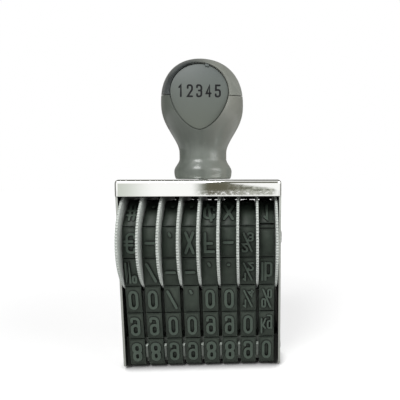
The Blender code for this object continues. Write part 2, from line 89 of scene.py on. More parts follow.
# Frame, one sheet pressed into a tray with two tapering cheeks
SHEET = 0.0010
CHEEK_GAP = 0.0006
TOP_GAP = 0.0020
SKIRT_HEIGHT = 0.0068
REAR_SKIRT_DROP = 0.0027
SKIRT_HALF_DEPTH = 0.0172
CORNER_RADIUS = 0.0016
CORNER_SEGMENTS = 8
CHEEK_LIFT = 0.0007
CHEEK_FOOT_HALF_DEPTH = 0.0085
CHEEK_FOOT_RADIUS = 0.0020
FOOT_SEGMENTS = 6
LIP_RADIUS = 0.00025

# Bridge rivets, nearly flush with the cheeks
RIVET_HEIGHT = 0.0080
RIVET_SPACING = 0.0070
RIVET_RADIUS = 0.0010
RIVET_HEAD_RADIUS = 0.0020
RIVET_HEAD_RISE = 0.00022
RIVET_GRIP = 0.0030

# Handle, its crown and its label
BEAD_BASE_RADIUS = 0.0115
BEAD_RADIUS = 0.0125
BELLY_HEIGHT = 0.0034
BEAD_HEIGHT = 0.0088
NECK_RADIUS = 0.0102
NECK_HEIGHT = 0.0115
BULB_RADIUS = 0.0177
BULB_HEIGHT = 0.0328
FLANK_POWER = 1.3
CROWN_RISE = 0.0188
CROWN_POWER = 2.3
SEAM_RISE = 0.0036
SEAM_LEAN = 0.18
CROWN_WALL = 0.0015
FACET_CUT = 0.0054
FACET_LEAN = 0.06
LABEL_HALF_WIDTH = 0.0118
LABEL_LIFT = 0.0029
LABEL_CROWN = 0.0115
LABEL_DROP = 0.0153
LABEL_RIM = 0.0006
LABEL_POINT = 1.65
LABEL_FLANK = 0.6
LABEL_THICKNESS = 0.0007
LABEL_SINK = 0.0002
LABEL_EDGE = 0.00018
TAB_LEFT = 0.0026
TAB_WIDTH = 0.0020
TAB_REACH = 0.0012
TAB_TURN = radians(18)
TAB_RISE = 0.0002
FIGURE_SCALE = 0.62
FIGURE_ADVANCE = 0.0038
FIGURE_LIFT = 0.0004
FIGURE_SINK = 0.00005
FIGURE_RISE = 0.00003

# Bridge's web and the dark bent sheet behind it, which stands in for shade
BRIDGE_WEB = 0.0012
WEB_GAP = 0.0012
BACK_FOOT = 0.0146
BACK_SHEET = 0.0004
BACK_DROP = 0.0006
BACK_REACH = 0.0066
BACK_LIP = 0.0011

# Characters on the bands, measured to the centre lines of their strokes
LETTER_HALF_WIDTH = 0.00142
SIGN_HALF_WIDTH = 0.00195
LETTER_HALF_HEIGHT = 0.0037
STROKE_HALF_WIDTH = 0.00056
STROKE_DRAFT = 0.00016
STROKE_STAGGER = 0.000006

# Floor, the lamps' aim and the cards that reflections see
FLOOR_HALF = 3.0
LAMP_AIM = (0, 0, 0.06)
CARD_HALF = 1.4
CARD_FOOT = -0.01
REAR_CARD = 0.6
TOP_CARD = 1.0
TOP_CARD_FRONT = -0.15
SIDE_CARD = 0.9
SIDE_CARD_FRONT = -0.25
FRONT_CARD = -0.5

# Camera: place, turns in radians, lens and sensor in millimetres, shift in frame widths
CAMERA_PLACE = (0.0204574, -0.1791281, 0.0804954)
CAMERA_TURN = (0.0511423, 0.0449252, 0.001496)
CAMERA_LENS = 36.0
CAMERA_SHIFT = (-0.175, -0.0018)
CAMERA_NEAR = 0.01

# Faces round the turned pieces
WHEEL_STEPS = 120
HANDLE_STEPS = 128
HEAD_STEPS = 32
AXLE_STEPS = 48

# Places worked out from the sizes
SIDE_ANGLE = 2 * pi / CELLS_PER_TURN
BAND_WIDTH = BAND_PITCH - DISC_THICKNESS - 2 * RUNNING_GAP
BAND_THICKNESS = BAND_BACKING + BLOCK_RISE + TYPE_RISE
BAND_APOTHEM = CELL_PITCH / (2 * tan(SIDE_ANGLE / 2))
HALF_CELL = CELL_PITCH / 2
STRAIGHT = CELLS_ON_SIDE * CELL_PITCH
SPREAD = BAND_APOTHEM - HALF_CELL
DROP = sqrt(STRAIGHT * STRAIGHT - SPREAD * SPREAD)
AXLE_HEIGHT = BAND_THICKNESS + DROP + HALF_CELL
DRUM_RADIUS = BAND_APOTHEM - SEAT_GAP
DRUM_END = BAND_PITCH - DISC_THICKNESS / 2 - RUNNING_GAP
DISC_OFFSET = BAND_PITCH * BAND_COUNT / 2
CHEEK_INSIDE = DISC_OFFSET + DISC_THICKNESS / 2 + CHEEK_GAP
FRAME_HALF_WIDTH = CHEEK_INSIDE + SHEET
HEAD_SEAT = FRAME_HALF_WIDTH + SEAT_GAP
FRAME_TOP = AXLE_HEIGHT + DISC_RADIUS + TOP_GAP + SHEET
SKIRT_BOTTOM = FRAME_TOP - SKIRT_HEIGHT
HANDLE_BASE = FRAME_TOP + SEAT_GAP
BULB_CENTRE = HANDLE_BASE + BULB_HEIGHT
SEAM = BULB_CENTRE + SEAM_RISE
CLEAR_OF_BULB = BULB_RADIUS + OVERRUN
FACET_DEPTH = BULB_RADIUS - FACET_CUT
LABEL_FACE = FACET_DEPTH - LABEL_SINK
LABEL_BACK = LABEL_FACE - LABEL_THICKNESS
LABEL_CENTRE = BULB_CENTRE + LABEL_LIFT

# Lays a turned piece's axis along the axle
ACROSS = Matrix(((0, 0, 1, 0), (1, 0, 0, 0), (0, 1, 0, 0), (0, 0, 0, 1)))


# Shader trees


def feed(tree, socket, value):
    """Links an input to another socket, or sets it to a constant."""
    if isinstance(value, bpy.types.NodeSocket):
        tree.links.new(value, socket)
    else:
        socket.default_value = value


def add_node(tree, kind, values=None, **settings):
    """A node with its settings; values maps an input to a constant or another socket."""
    node = tree.nodes.new(kind)
    for name, value in settings.items():
        setattr(node, name, value)
    for name, value in (values or {}).items():
        feed(tree, node.inputs[name], value)
    return node


def new_group(name, kind, inputs, outputs):
    """A node group with its sockets, and its two end nodes."""
    group = bpy.data.node_groups.new(name, kind)
    for label, socket_type, value in inputs:
        socket = group.interface.new_socket(name=label, in_out="INPUT", socket_type=socket_type)
        if value is not None:
            socket.default_value = value
    for label, socket_type in outputs:
        group.interface.new_socket(name=label, in_out="OUTPUT", socket_type=socket_type)
    return group, group.nodes.new("NodeGroupInput"), group.nodes.new("NodeGroupOutput")


def use_group(tree, group, **values):
    """A node group set into a shader tree; spaces in an input's name are written as _."""
    node = add_node(tree, "ShaderNodeGroup", node_tree=group)
    for name, value in values.items():
        feed(tree, node.inputs[name.replace("_", " ")], value)
    return node


def blend_colour(tree, first, second, share, blend="MIX"):
    """The first colour where the share is 0, the second where it is 1."""
    mix = add_node(tree, "ShaderNodeMix", data_type="RGBA", blend_type=blend)
    for index, value in ((6, first), (7, second), (0, share)):
        feed(tree, mix.inputs[index], value)
    return mix.outputs[2]


def object_place(tree):
    """The place on the piece a material's pattern is laid by."""
    return add_node(tree, "ShaderNodeTexCoord").outputs["Object"]


def noise(tree, vector, scale, detail, **more):
    """A cloudy pattern over the vector."""
    values = {"Vector": vector, "Scale": scale, "Detail": detail, **more}
    return add_node(tree, "ShaderNodeTexNoise", values).outputs


def combined(tree, operation, *sources):
    """The sources joined one after another by a plain sum of this kind."""
    result = sources[0]
    for source in sources[1:]:
        node = add_node(tree, "ShaderNodeMath", {0: result, 1: source}, operation=operation)
        result = node.outputs[0]
    return result


def size_of(tree, value):
    """A value without its sign."""
    return add_node(tree, "ShaderNodeMath", {0: value}, operation="ABSOLUTE").outputs[0]


def along(tree, axis, coordinates="Object"):
    """The place on the stamp along an axis, or the part of the normal that points there."""
    place = add_node(tree, "ShaderNodeTexCoord")
    split = add_node(tree, "ShaderNodeSeparateXYZ", {"Vector": place.outputs[coordinates]})
    return split.outputs[axis]


def ramp(tree, source, low, high, interpolation="SMOOTHSTEP"):
    """0 where the source is at the low value, 1 at the high one; smooth if not told."""
    span = add_node(tree, "ShaderNodeMapRange", {
        "Value": source, "From Min": low, "From Max": high,
    }, interpolation_type=interpolation)
    return span.outputs["Result"]


def height_share(tree, low, high):
    """0 at a low height on the stamp, 1 at a high one."""
    return ramp(tree, along(tree, "Z"), low, high, "LINEAR")


def side_share(tree, left, right):
    """0 at the left of the stamp, 1 at the right."""
    return ramp(tree, along(tree, "X"), left, right)


def edge_wear_and_highlight_group():
    """Mask that is 1 on rounded edges, broken up by a coarse noise: worn edges, and on the rubber
    also a painted highlight where edges catch the light.
    """
    group, start, end = new_group("edge_wear", "ShaderNodeTree", [
        ("Radius", "NodeSocketFloat", 0.0003), ("Strength", "NodeSocketFloat", 2.0),
        ("Scale", "NodeSocketFloat", 300.0),
    ], [("Mask", "NodeSocketFloat")])
    round_edge = add_node(group, "ShaderNodeBevel", {"Radius": start.outputs["Radius"]}, samples=4)
    surface = add_node(group, "ShaderNodeNewGeometry")
    facing = add_node(group, "ShaderNodeVectorMath", {
        0: round_edge.outputs["Normal"], 1: surface.outputs["Normal"],
    }, operation="DOT_PRODUCT")
    turned_away = combined(group, "SUBTRACT", 1.0, facing.outputs["Value"])
    clouds = noise(group, object_place(group), start.outputs["Scale"], 3.0)
    patchy = combined(group, "MULTIPLY", turned_away, clouds["Fac"])
    strong = add_node(group, "ShaderNodeMath", {
        0: patchy, 1: start.outputs["Strength"],
    }, operation="MULTIPLY", use_clamp=True)
    group.links.new(strong.outputs[0], end.inputs["Mask"])
    return group


def crevice_group():
    """Mask that is 1 in the open and falls towards 0 far into narrow places, used to paint shade
    there.
    """
    group, start, end = new_group("crevice", "ShaderNodeTree", [
        ("Reach", "NodeSocketFloat", 0.001), ("Closed", "NodeSocketFloat", 0.35),
        ("Open", "NodeSocketFloat", 0.95),
    ], [("Mask", "NodeSocketFloat")])
    around = add_node(
        group, "ShaderNodeAmbientOcclusion", {"Distance": start.outputs["Reach"]}, samples=6,
        only_local=True,
    )
    span = add_node(group, "ShaderNodeMapRange", {
        "Value": around.outputs["AO"], "From Min": start.outputs["Closed"],
        "From Max": start.outputs["Open"],
    })
    group.links.new(span.outputs["Result"], end.inputs["Mask"])
    return group


def surface_grain_group():
    """Fine unevenness of a moulded or rolled surface, as a height and a normal."""
    group, start, end = new_group("surface_grain", "ShaderNodeTree", [
        ("Scale", "NodeSocketFloat", 900.0), ("Strength", "NodeSocketFloat", 0.2),
        ("Depth", "NodeSocketFloat", 0.0001),
    ], [("Height", "NodeSocketFloat"), ("Normal", "NodeSocketVector")])
    clouds = noise(group, object_place(group), start.outputs["Scale"], 4.0, Roughness=0.6)
    bump = add_node(group, "ShaderNodeBump", {
        "Height": clouds["Fac"], "Strength": start.outputs["Strength"],
        "Distance": start.outputs["Depth"],
    })
    group.links.new(clouds["Fac"], end.inputs["Height"])
    group.links.new(bump.outputs["Normal"], end.inputs["Normal"])
    return group


def tone_shift_group():
    """Two tones that run into each other in soft clouds."""
    group, start, end = new_group("tone_shift", "ShaderNodeTree", [
        ("First", "NodeSocketColor", (1, 1, 1, 1)), ("Second", "NodeSocketColor", (1, 1, 1, 1)),
        ("Scale", "NodeSocketFloat", 60.0), ("Contrast", "NodeSocketFloat", 0.5),
    ], [("Color", "NodeSocketColor"), ("Mask", "NodeSocketFloat")])
    clouds = noise(group, object_place(group), start.outputs["Scale"], 5.0, Distortion=0.6)
    spread = combined(group, "SUBTRACT", clouds["Fac"], 0.5)
    widened = combined(group, "MULTIPLY", spread, start.outputs["Contrast"])
    share = add_node(group, "ShaderNodeMath", {
        0: widened, 1: 4.0, 2: 0.5,
    }, operation="MULTIPLY_ADD", use_clamp=True).outputs[0]
    colour = blend_colour(group, start.outputs["First"], start.outputs["Second"], share)
    group.links.new(colour, end.inputs["Color"])
    group.links.new(share, end.inputs["Mask"])
    return group


def new_finish(name, **values):
    """A material whose shader sockets hold the constant values given."""
    material = bpy.data.materials.new(name)
    material.use_nodes = True
    shader = material.node_tree.nodes["Principled BSDF"]
    for label, value in values.items():
        shader.inputs[label.replace("_", " ")].default_value = value
    return material, material.node_tree, shader


def add_grain(tree, shader, **values):
    """Fine unevenness on a material's normal."""
    grain = use_group(tree, surface_grain, **values)
    tree.links.new(grain.outputs["Normal"], shader.inputs["Normal"])


def rubber_finish(name, dark, light, worn_and_lit, shade_tone):
    """Moulded rubber: clouded tone, fine grain, paler on its edges from wear and a painted
    highlight, and painted shade in its hollows and on its side faces.
    """
    material, tree, shader = new_finish(name, Roughness=0.5, Specular_IOR_Level=0.2)
    tone = use_group(tree, tone_shift, First=dark, Second=light, Scale=220.0, Contrast=0.6)
    edge_mask = use_group(tree, edge_wear, Radius=0.00022, Strength=2.4, Scale=500.0)
    colour = blend_colour(tree, tone.outputs["Color"], worn_and_lit, edge_mask.outputs["Mask"])
    # Painted shade: near black in hollows and on the side faces between the bands
    hollow_shade = use_group(tree, crevice, Reach=0.0026, Closed=0.80, Open=0.995)
    front = ramp(tree, size_of(tree, along(tree, "X", "Normal")), 0.95, 0.75)
    clear = combined(tree, "MULTIPLY", hollow_shade.outputs["Mask"], front)
    colour = blend_colour(tree, shade_tone, colour, clear)
    tree.links.new(colour, shader.inputs["Base Color"])
    add_grain(tree, shader, Scale=2600.0, Strength=0.35, Depth=0.00006)
    return material


def disc_finish():
    """Satin light grey plastic, with painted shade between the ridges and a painted shadow where
    the skirt hangs over it.
    """
    material, tree, shader = new_finish("thumb_disc_plastic", Roughness=0.42)
    tone = use_group(
        tree, tone_shift, First=(0.52, 0.55, 0.52, 1), Second=(0.44, 0.47, 0.44, 1), Scale=90.0,
        Contrast=0.5,
    )
    hollow_shade = use_group(tree, crevice, Reach=0.0014, Closed=0.35, Open=0.95)
    # Painted shade between the ridges
    colour = blend_colour(
        tree, (0.16, 0.18, 0.16, 1), tone.outputs["Color"], hollow_shade.outputs["Mask"]
    )
    # Painted shadow where the skirt and the neighbouring parts close over the disc
    shade = add_node(tree, "ShaderNodeAmbientOcclusion", {"Distance": 0.011}, samples=6)
    lit = ramp(tree, shade.outputs["AO"], 0.10, 0.42)
    colour = blend_colour(tree, (0.07, 0.08, 0.07, 1), colour, lit)
    tree.links.new(colour, shader.inputs["Base Color"])
    add_grain(tree, shader, Scale=1500.0, Strength=0.15, Depth=0.00005)
    return material


def chrome_finish():
    """Bright plated sheet with faint rolling lines and a little haze."""
    material, tree, shader = new_finish(
        "bright_chrome_plate", Metallic=1.0, Base_Color=(0.95, 0.955, 0.93, 1)
    )
    lines = add_node(tree, "ShaderNodeMapping", {
        "Vector": object_place(tree), "Scale": (12.0, 300.0, 700.0),
    })
    rolled = noise(tree, lines.outputs["Vector"], 1.0, 3.0)["Fac"]
    haze = add_node(tree, "ShaderNodeMapRange", {
        "Value": rolled, "To Min": 0.02, "To Max": 0.06,
    })
    tree.links.new(haze.outputs["Result"], shader.inputs["Roughness"])
    bump = add_node(tree, "ShaderNodeBump", {
        "Height": rolled, "Strength": 0.05, "Distance": 0.00004,
    })
    tree.links.new(bump.outputs["Normal"], shader.inputs["Normal"])
    return material


def steel_finish(name, colour, bright, roughness):
    """Satin steel with fine brushing and brighter edges."""
    material, tree, shader = new_finish(name, Metallic=0.85, Roughness=roughness)
    edge_mask = use_group(tree, edge_wear, Radius=0.0002, Strength=2.0, Scale=400.0)
    tone = blend_colour(tree, colour, bright, edge_mask.outputs["Mask"])
    tree.links.new(tone, shader.inputs["Base Color"])
    add_grain(tree, shader, Scale=1800.0, Strength=0.2, Depth=0.00004)
    return material


def low_share(tree):
    """1 on the neck and the lower bulb, 0 at the crown."""
    return ramp(tree, height_share(tree, HANDLE_BASE, BULB_CENTRE), 1.0, 0.3)


def bridge_finish():
    """Dull steel of the bridge, with painted shade on the end plates that stand in the cheeks'
    shade.
    """
    material, tree, shader = new_finish("bridge_dull_steel", Metallic=0.6, Roughness=0.5)
    edge_mask = use_group(tree, edge_wear, Radius=0.0002, Strength=1.2, Scale=400.0)
    tone = blend_colour(tree, (0.17, 0.19, 0.17, 1), (0.30, 0.33, 0.30, 1), edge_mask.outputs["Mask"])
    # Painted shade: the end plates go near black where the cheeks shade them
    side = size_of(tree, along(tree, "X"))
    plate = ramp(tree, side, DISC_OFFSET - 0.0008, DISC_OFFSET - 0.0006)
    tone = blend_colour(tree, tone, (0.012, 0.014, 0.012, 1), plate)
    tree.links.new(tone, shader.inputs["Base Color"])
    add_grain(tree, shader, Scale=1800.0, Strength=0.2, Depth=0.00004)
    return material


def handle_finish():
    """Gloss grey plastic, browner and lighter on the right, the lighter tone a painted light, with
    shallow moulding waves.
    """
    material, tree, shader = new_finish(
        "handle_gloss_grey", Roughness=0.34, Specular_IOR_Level=0.35, Coat_Weight=0.2,
        Coat_Roughness=0.16
    )
    cool_shaded_left = use_group(
        tree, tone_shift, First=(0.080, 0.092, 0.080, 1), Second=(0.112, 0.125, 0.108, 1),
        Scale=45.0, Contrast=0.6,
    )
    warm_lit_right = use_group(
        tree, tone_shift, First=(0.150, 0.154, 0.134, 1), Second=(0.200, 0.204, 0.178, 1),
        Scale=45.0, Contrast=0.6,
    )
    # Painted light: the right side is made lighter, as though lit from the right, and browner
    share = side_share(tree, -0.002, 0.015)
    colour = blend_colour(tree, cool_shaded_left.outputs["Color"], warm_lit_right.outputs["Color"], share)
    place = object_place(tree)
    drawn = add_node(tree, "ShaderNodeMapping", {
        "Vector": place, "Scale": (260.0, 260.0, 45.0),
    })
    streaks = noise(tree, drawn.outputs["Vector"], 1.0, 3.0)["Fac"]
    faint = ramp(tree, streaks, 0.35, 0.75)
    colour = blend_colour(tree, colour, (0.135, 0.150, 0.132, 1),
                          combined(tree, "MULTIPLY", faint, low_share(tree)))
    tree.links.new(colour, shader.inputs["Base Color"])
    waves = noise(tree, place, 420.0, 2.0)["Fac"]
    bead = ramp(tree, along(tree, "Z"), HANDLE_BASE + NECK_HEIGHT, HANDLE_BASE + BEAD_HEIGHT)
    bump = add_node(tree, "ShaderNodeBump", {
        "Height": combined(tree, "MULTIPLY", waves, bead), "Strength": 0.5,
        "Distance": 0.00035,
    })
    tree.links.new(bump.outputs["Normal"], shader.inputs["Normal"])
    return material


def crown_finish():
    """Smoke-tinted clear plastic with drawn streaks under the gloss, darker on the left by painted
    shade and a paler brown on the right by painted light.
    """
    material, tree, shader = new_finish(
        "crown_smoke", Roughness=0.2, Specular_IOR_Level=0.4, Coat_Weight=0.25,
        Coat_Roughness=0.08
    )
    dark = use_group(
        tree, tone_shift, First=(0.020, 0.025, 0.025, 1), Second=(0.09, 0.10, 0.10, 1),
        Scale=70.0, Contrast=0.9,
    )
    brown = use_group(
        tree, tone_shift, First=(0.14, 0.148, 0.130, 1), Second=(0.24, 0.25, 0.222, 1),
        Scale=50.0, Contrast=0.6,
    )
    # Painted shade on the left and painted light on the right
    share = side_share(tree, -0.006, 0.008)
    colour = blend_colour(tree, dark.outputs["Color"], brown.outputs["Color"], share)
    tree.links.new(colour, shader.inputs["Base Color"])
    add_grain(tree, shader, Scale=140.0, Strength=0.1, Depth=0.0002)
    return material


def label_finish():
    """Satin plate, bluish grey above and greener below."""
    material, tree, shader = new_finish("label_satin_grey", Roughness=0.4,
                                        Specular_IOR_Level=0.25)
    fade = height_share(tree, LABEL_CENTRE - LABEL_DROP, LABEL_CENTRE + LABEL_CROWN)
    base = blend_colour(tree, (0.118, 0.130, 0.110, 1), (0.100, 0.114, 0.110, 1), fade)
    tone = use_group(tree, tone_shift, Scale=120.0, Contrast=0.25, First=(1, 1, 1, 1),
                     Second=(0.9, 0.91, 0.9, 1))
    shaded = blend_colour(tree, base, tone.outputs["Color"], 1.0, "MULTIPLY")
    tree.links.new(shaded, shader.inputs["Base Color"])
    add_grain(tree, shader, Scale=1200.0, Strength=0.12, Depth=0.00004)
    return material


def ink_finish():
    """Matt black print."""
    material, tree, shader = new_finish("label_black_ink", Roughness=0.6,
                                        Specular_IOR_Level=0.1)
    tone = use_group(tree, tone_shift, First=(0.006, 0.006, 0.007, 1),
                     Second=(0.014, 0.014, 0.015, 1), Scale=300.0, Contrast=0.6)
    tree.links.new(tone.outputs["Color"], shader.inputs["Base Color"])
    return material


# Geometry node trees


def geometry_group(name, inputs):
    """A modifier tree that joins what it makes to the piece it is on, with a material."""
    sockets = [("Geometry", "NodeSocketGeometry", None)] + inputs
    sockets.append(("Material", "NodeSocketMaterial", None))
    group, start, end = new_group(
        name, "GeometryNodeTree", sockets, [("Geometry", "NodeSocketGeometry")]
    )
    group.is_modifier = True
    return group, start, end


def close_geometry_group(group, start, end, instances):
    """Realizes the copies, gives them the material and joins them to the piece."""
    real = add_node(group, "GeometryNodeRealizeInstances", {"Geometry": instances})
    coated = add_node(group, "GeometryNodeSetMaterial", {
        "Geometry": real.outputs["Geometry"], "Material": start.outputs["Material"],
    })
    joined = add_node(group, "GeometryNodeJoinGeometry")
    group.links.new(coated.outputs["Geometry"], joined.inputs["Geometry"])
    group.links.new(start.outputs["Geometry"], joined.inputs["Geometry"])
    group.links.new(joined.outputs["Geometry"], end.inputs["Geometry"])
    return group


def copies_at_places_group():
    """Sets a copy at each place, turned about an axis and picked by the place's choice."""
    group, start, end = geometry_group("copies_at_places", [
        ("Places", "NodeSocketObject", None), ("Copies", "NodeSocketCollection", None),
        ("Axis", "NodeSocketVector", (1, 0, 0)),
    ])
    places = add_node(group, "GeometryNodeObjectInfo", {"Object": start.outputs["Places"]})
    copies = add_node(group, "GeometryNodeCollectionInfo", {
        "Collection": start.outputs["Copies"], "Separate Children": True,
        "Reset Children": True,
    })
    turn = add_node(group, "GeometryNodeInputNamedAttribute", {"Name": "turn"})
    choice = add_node(
        group, "GeometryNodeInputNamedAttribute", {"Name": "choice"}, data_type="INT"
    )
    spin = add_node(group, "ShaderNodeVectorMath", {
        0: start.outputs["Axis"], "Scale": turn.outputs["Attribute"],
    }, operation="SCALE")
    spread = add_node(group, "GeometryNodeInstanceOnPoints", {
        "Points": places.outputs["Geometry"], "Instance": copies.outputs["Instances"],
        "Pick Instance": True, "Instance Index": choice.outputs["Attribute"],
        "Rotation": spin.outputs["Vector"],
    })
    return close_geometry_group(group, start, end, spread.outputs["Instances"])


def ring_of_copies_group():
    """Sets copies evenly round a circle about X, each with its top facing outwards."""
    group, start, end = geometry_group("ring_of_copies", [
        ("Copy", "NodeSocketObject", None), ("Count", "NodeSocketInt", 12),
        ("Radius", "NodeSocketFloat", 0.01), ("Middle", "NodeSocketVector", (0, 0, 0)),
    ])
    ring = add_node(group, "GeometryNodeMeshCircle", {
        "Vertices": start.outputs["Count"], "Radius": start.outputs["Radius"],
    })
    upright = add_node(group, "GeometryNodeTransform", {
        "Geometry": ring.outputs["Mesh"], "Rotation": (pi / 2, 0, pi / 2),
    })
    copy = add_node(group, "GeometryNodeObjectInfo", {"Object": start.outputs["Copy"]})
    place = add_node(group, "GeometryNodeInputPosition")
    split = add_node(group, "ShaderNodeSeparateXYZ", {"Vector": place.outputs["Position"]})
    angle = combined(group, "ARCTAN2", split.outputs["Z"], split.outputs["Y"])
    from_top = combined(group, "SUBTRACT", angle, pi / 2)
    spin = add_node(group, "ShaderNodeCombineXYZ", {"X": from_top})
    spread = add_node(group, "GeometryNodeInstanceOnPoints", {
        "Points": upright.outputs["Geometry"], "Instance": copy.outputs["Geometry"],
        "Rotation": spin.outputs["Vector"],
    })
    shifted = add_node(group, "GeometryNodeTranslateInstances", {
        "Instances": spread.outputs["Instances"], "Translation": start.outputs["Middle"],
        "Local Space": False,
    })
    return close_geometry_group(group, start, end, shifted.outputs["Instances"])


def add_geometry_tree(piece, group, **values):
    """Puts a tree on a piece; its inputs are set by their identifiers."""
    modifier = piece.modifiers.new(group.name, "NODES")
    modifier.node_group = group
    for item in group.interface.items_tree:
        label = item.name.replace(" ", "_")
        if item.in_out == "INPUT" and label in values:
            modifier[item.identifier] = values[label]


# Mesh making


def link_piece(name, mesh, collection=None):
    """A piece of this mesh, in the scene or in a collection of its own."""
    piece = bpy.data.objects.new(name, mesh)
    (collection or bpy.context.scene.collection).objects.link(piece)
    return piece


def mesh_from(name, verts, faces):
    """A plain mesh of these points and faces."""
    mesh = bpy.data.meshes.new(name)
    mesh.from_pydata(verts, [], faces)
    return mesh


def mesh_of(shape, name):
    """A new mesh of an edited shape, which is then let go."""
    mesh = bpy.data.meshes.new(name)
    shape.to_mesh(mesh)
    shape.free()
    return mesh


def ring_faces(first, second, count):
    """Faces between two rings of as many points, each given by its first point."""
    return [(first + index, first + (index + 1) % count, second + (index + 1) % count,
             second + index) for index in range(count)]


def bake(piece):
    """Applies what is on a piece and leaves a plain mesh."""
    bpy.context.view_layer.update()
    evaluated = piece.evaluated_get(bpy.context.evaluated_depsgraph_get())
    mesh = bpy.data.meshes.new_from_object(evaluated)
    piece.modifiers.clear()
    piece.data = mesh
    mesh.name = piece.name
    return piece


def mend(mesh):
    """Merges doubles and turns every face outwards."""
    shape = bmesh.new()
    shape.from_mesh(mesh)
    bmesh.ops.remove_doubles(shape, verts=shape.verts, dist=WELD)
    bmesh.ops.recalc_face_normals(shape, faces=shape.faces)
    shape.to_mesh(mesh)
    shape.free()
    return mesh


def coat(piece, *materials):
    """Gives the piece these materials in place of its own."""
    piece.data.materials.clear()
    for material in materials:
        piece.data.materials.append(material)
    return piece


def smooth(piece, angle=radians(32)):
    """Smooth shading that stays sharp at edges bent more than the angle."""
    piece.data.shade_smooth()
    piece.data.set_sharp_from_angle(angle=angle)
    return piece


def weighted(piece):
    """Smooth shading that keeps broad flat faces flat."""
    smooth(piece, radians(40))
    modifier = piece.modifiers.new("weighted", "WEIGHTED_NORMAL")
    modifier.keep_sharp = True
    return bake(piece)


def bevel(piece, width, segments=3, angle=radians(40)):
    """Rounds the edges bent more than the angle, once the piece is baked."""
    modifier = piece.modifiers.new("bevel", "BEVEL")
    modifier.width = width
    modifier.segments = segments
    modifier.limit_method = "ANGLE"
    modifier.angle_limit = angle
    return piece


def turned(profile, steps, lay=None, closed=False):
    """A turned shape; the profile holds (radius, height) pairs, down its outer side."""
    mesh = bpy.data.meshes.new("profile")
    count = len(profile)
    links = count if closed else count - 1
    edges = [(index, (index + 1) % count) for index in range(links)]
    mesh.from_pydata([(radius, 0, height) for radius, height in profile], edges, [])
    piece = link_piece("profile", mesh)
    screw = piece.modifiers.new("turn", "SCREW")
    screw.steps = steps
    screw.render_steps = steps
    screw.use_merge_vertices = True
    screw.merge_threshold = WELD
    bake(piece)
    result = piece.data
    bpy.data.objects.remove(piece)
    if lay:
        result.transform(lay)
    return mend(result)


def slab(outline, low, high, place):
    """A flat closed shape; place turns (across, up, through) into a point of the stamp."""
    count = len(outline)
    verts = [place(x, z, low) for x, z in outline] + [place(x, z, high) for x, z in outline]
    faces = [tuple(range(count)), tuple(range(count, 2 * count))]
    return mend(mesh_from("slab", verts, faces + ring_faces(0, count, count)))


def cut(piece, tool_mesh, operation="DIFFERENCE"):
    """Cuts the tool out of the piece, or keeps what both share."""
    tool = link_piece("tool", tool_mesh)
    modifier = piece.modifiers.new("cut", "BOOLEAN")
    modifier.operation = operation
    modifier.object = tool
    bake(piece)
    bpy.data.objects.remove(tool)
    return piece


def joined(meshes):
    """One mesh of several, none of them welded to another."""
    shape = bmesh.new()
    for mesh in meshes:
        shape.from_mesh(mesh)
    return mesh_of(shape, "joined")


def set_on(piece, body, slot, *nodes):
    """The piece rides on a body and stands for CAD nodes; the slot is not used."""
    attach(piece, body)
    if nodes:
        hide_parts(*nodes)
    return piece


# Characters


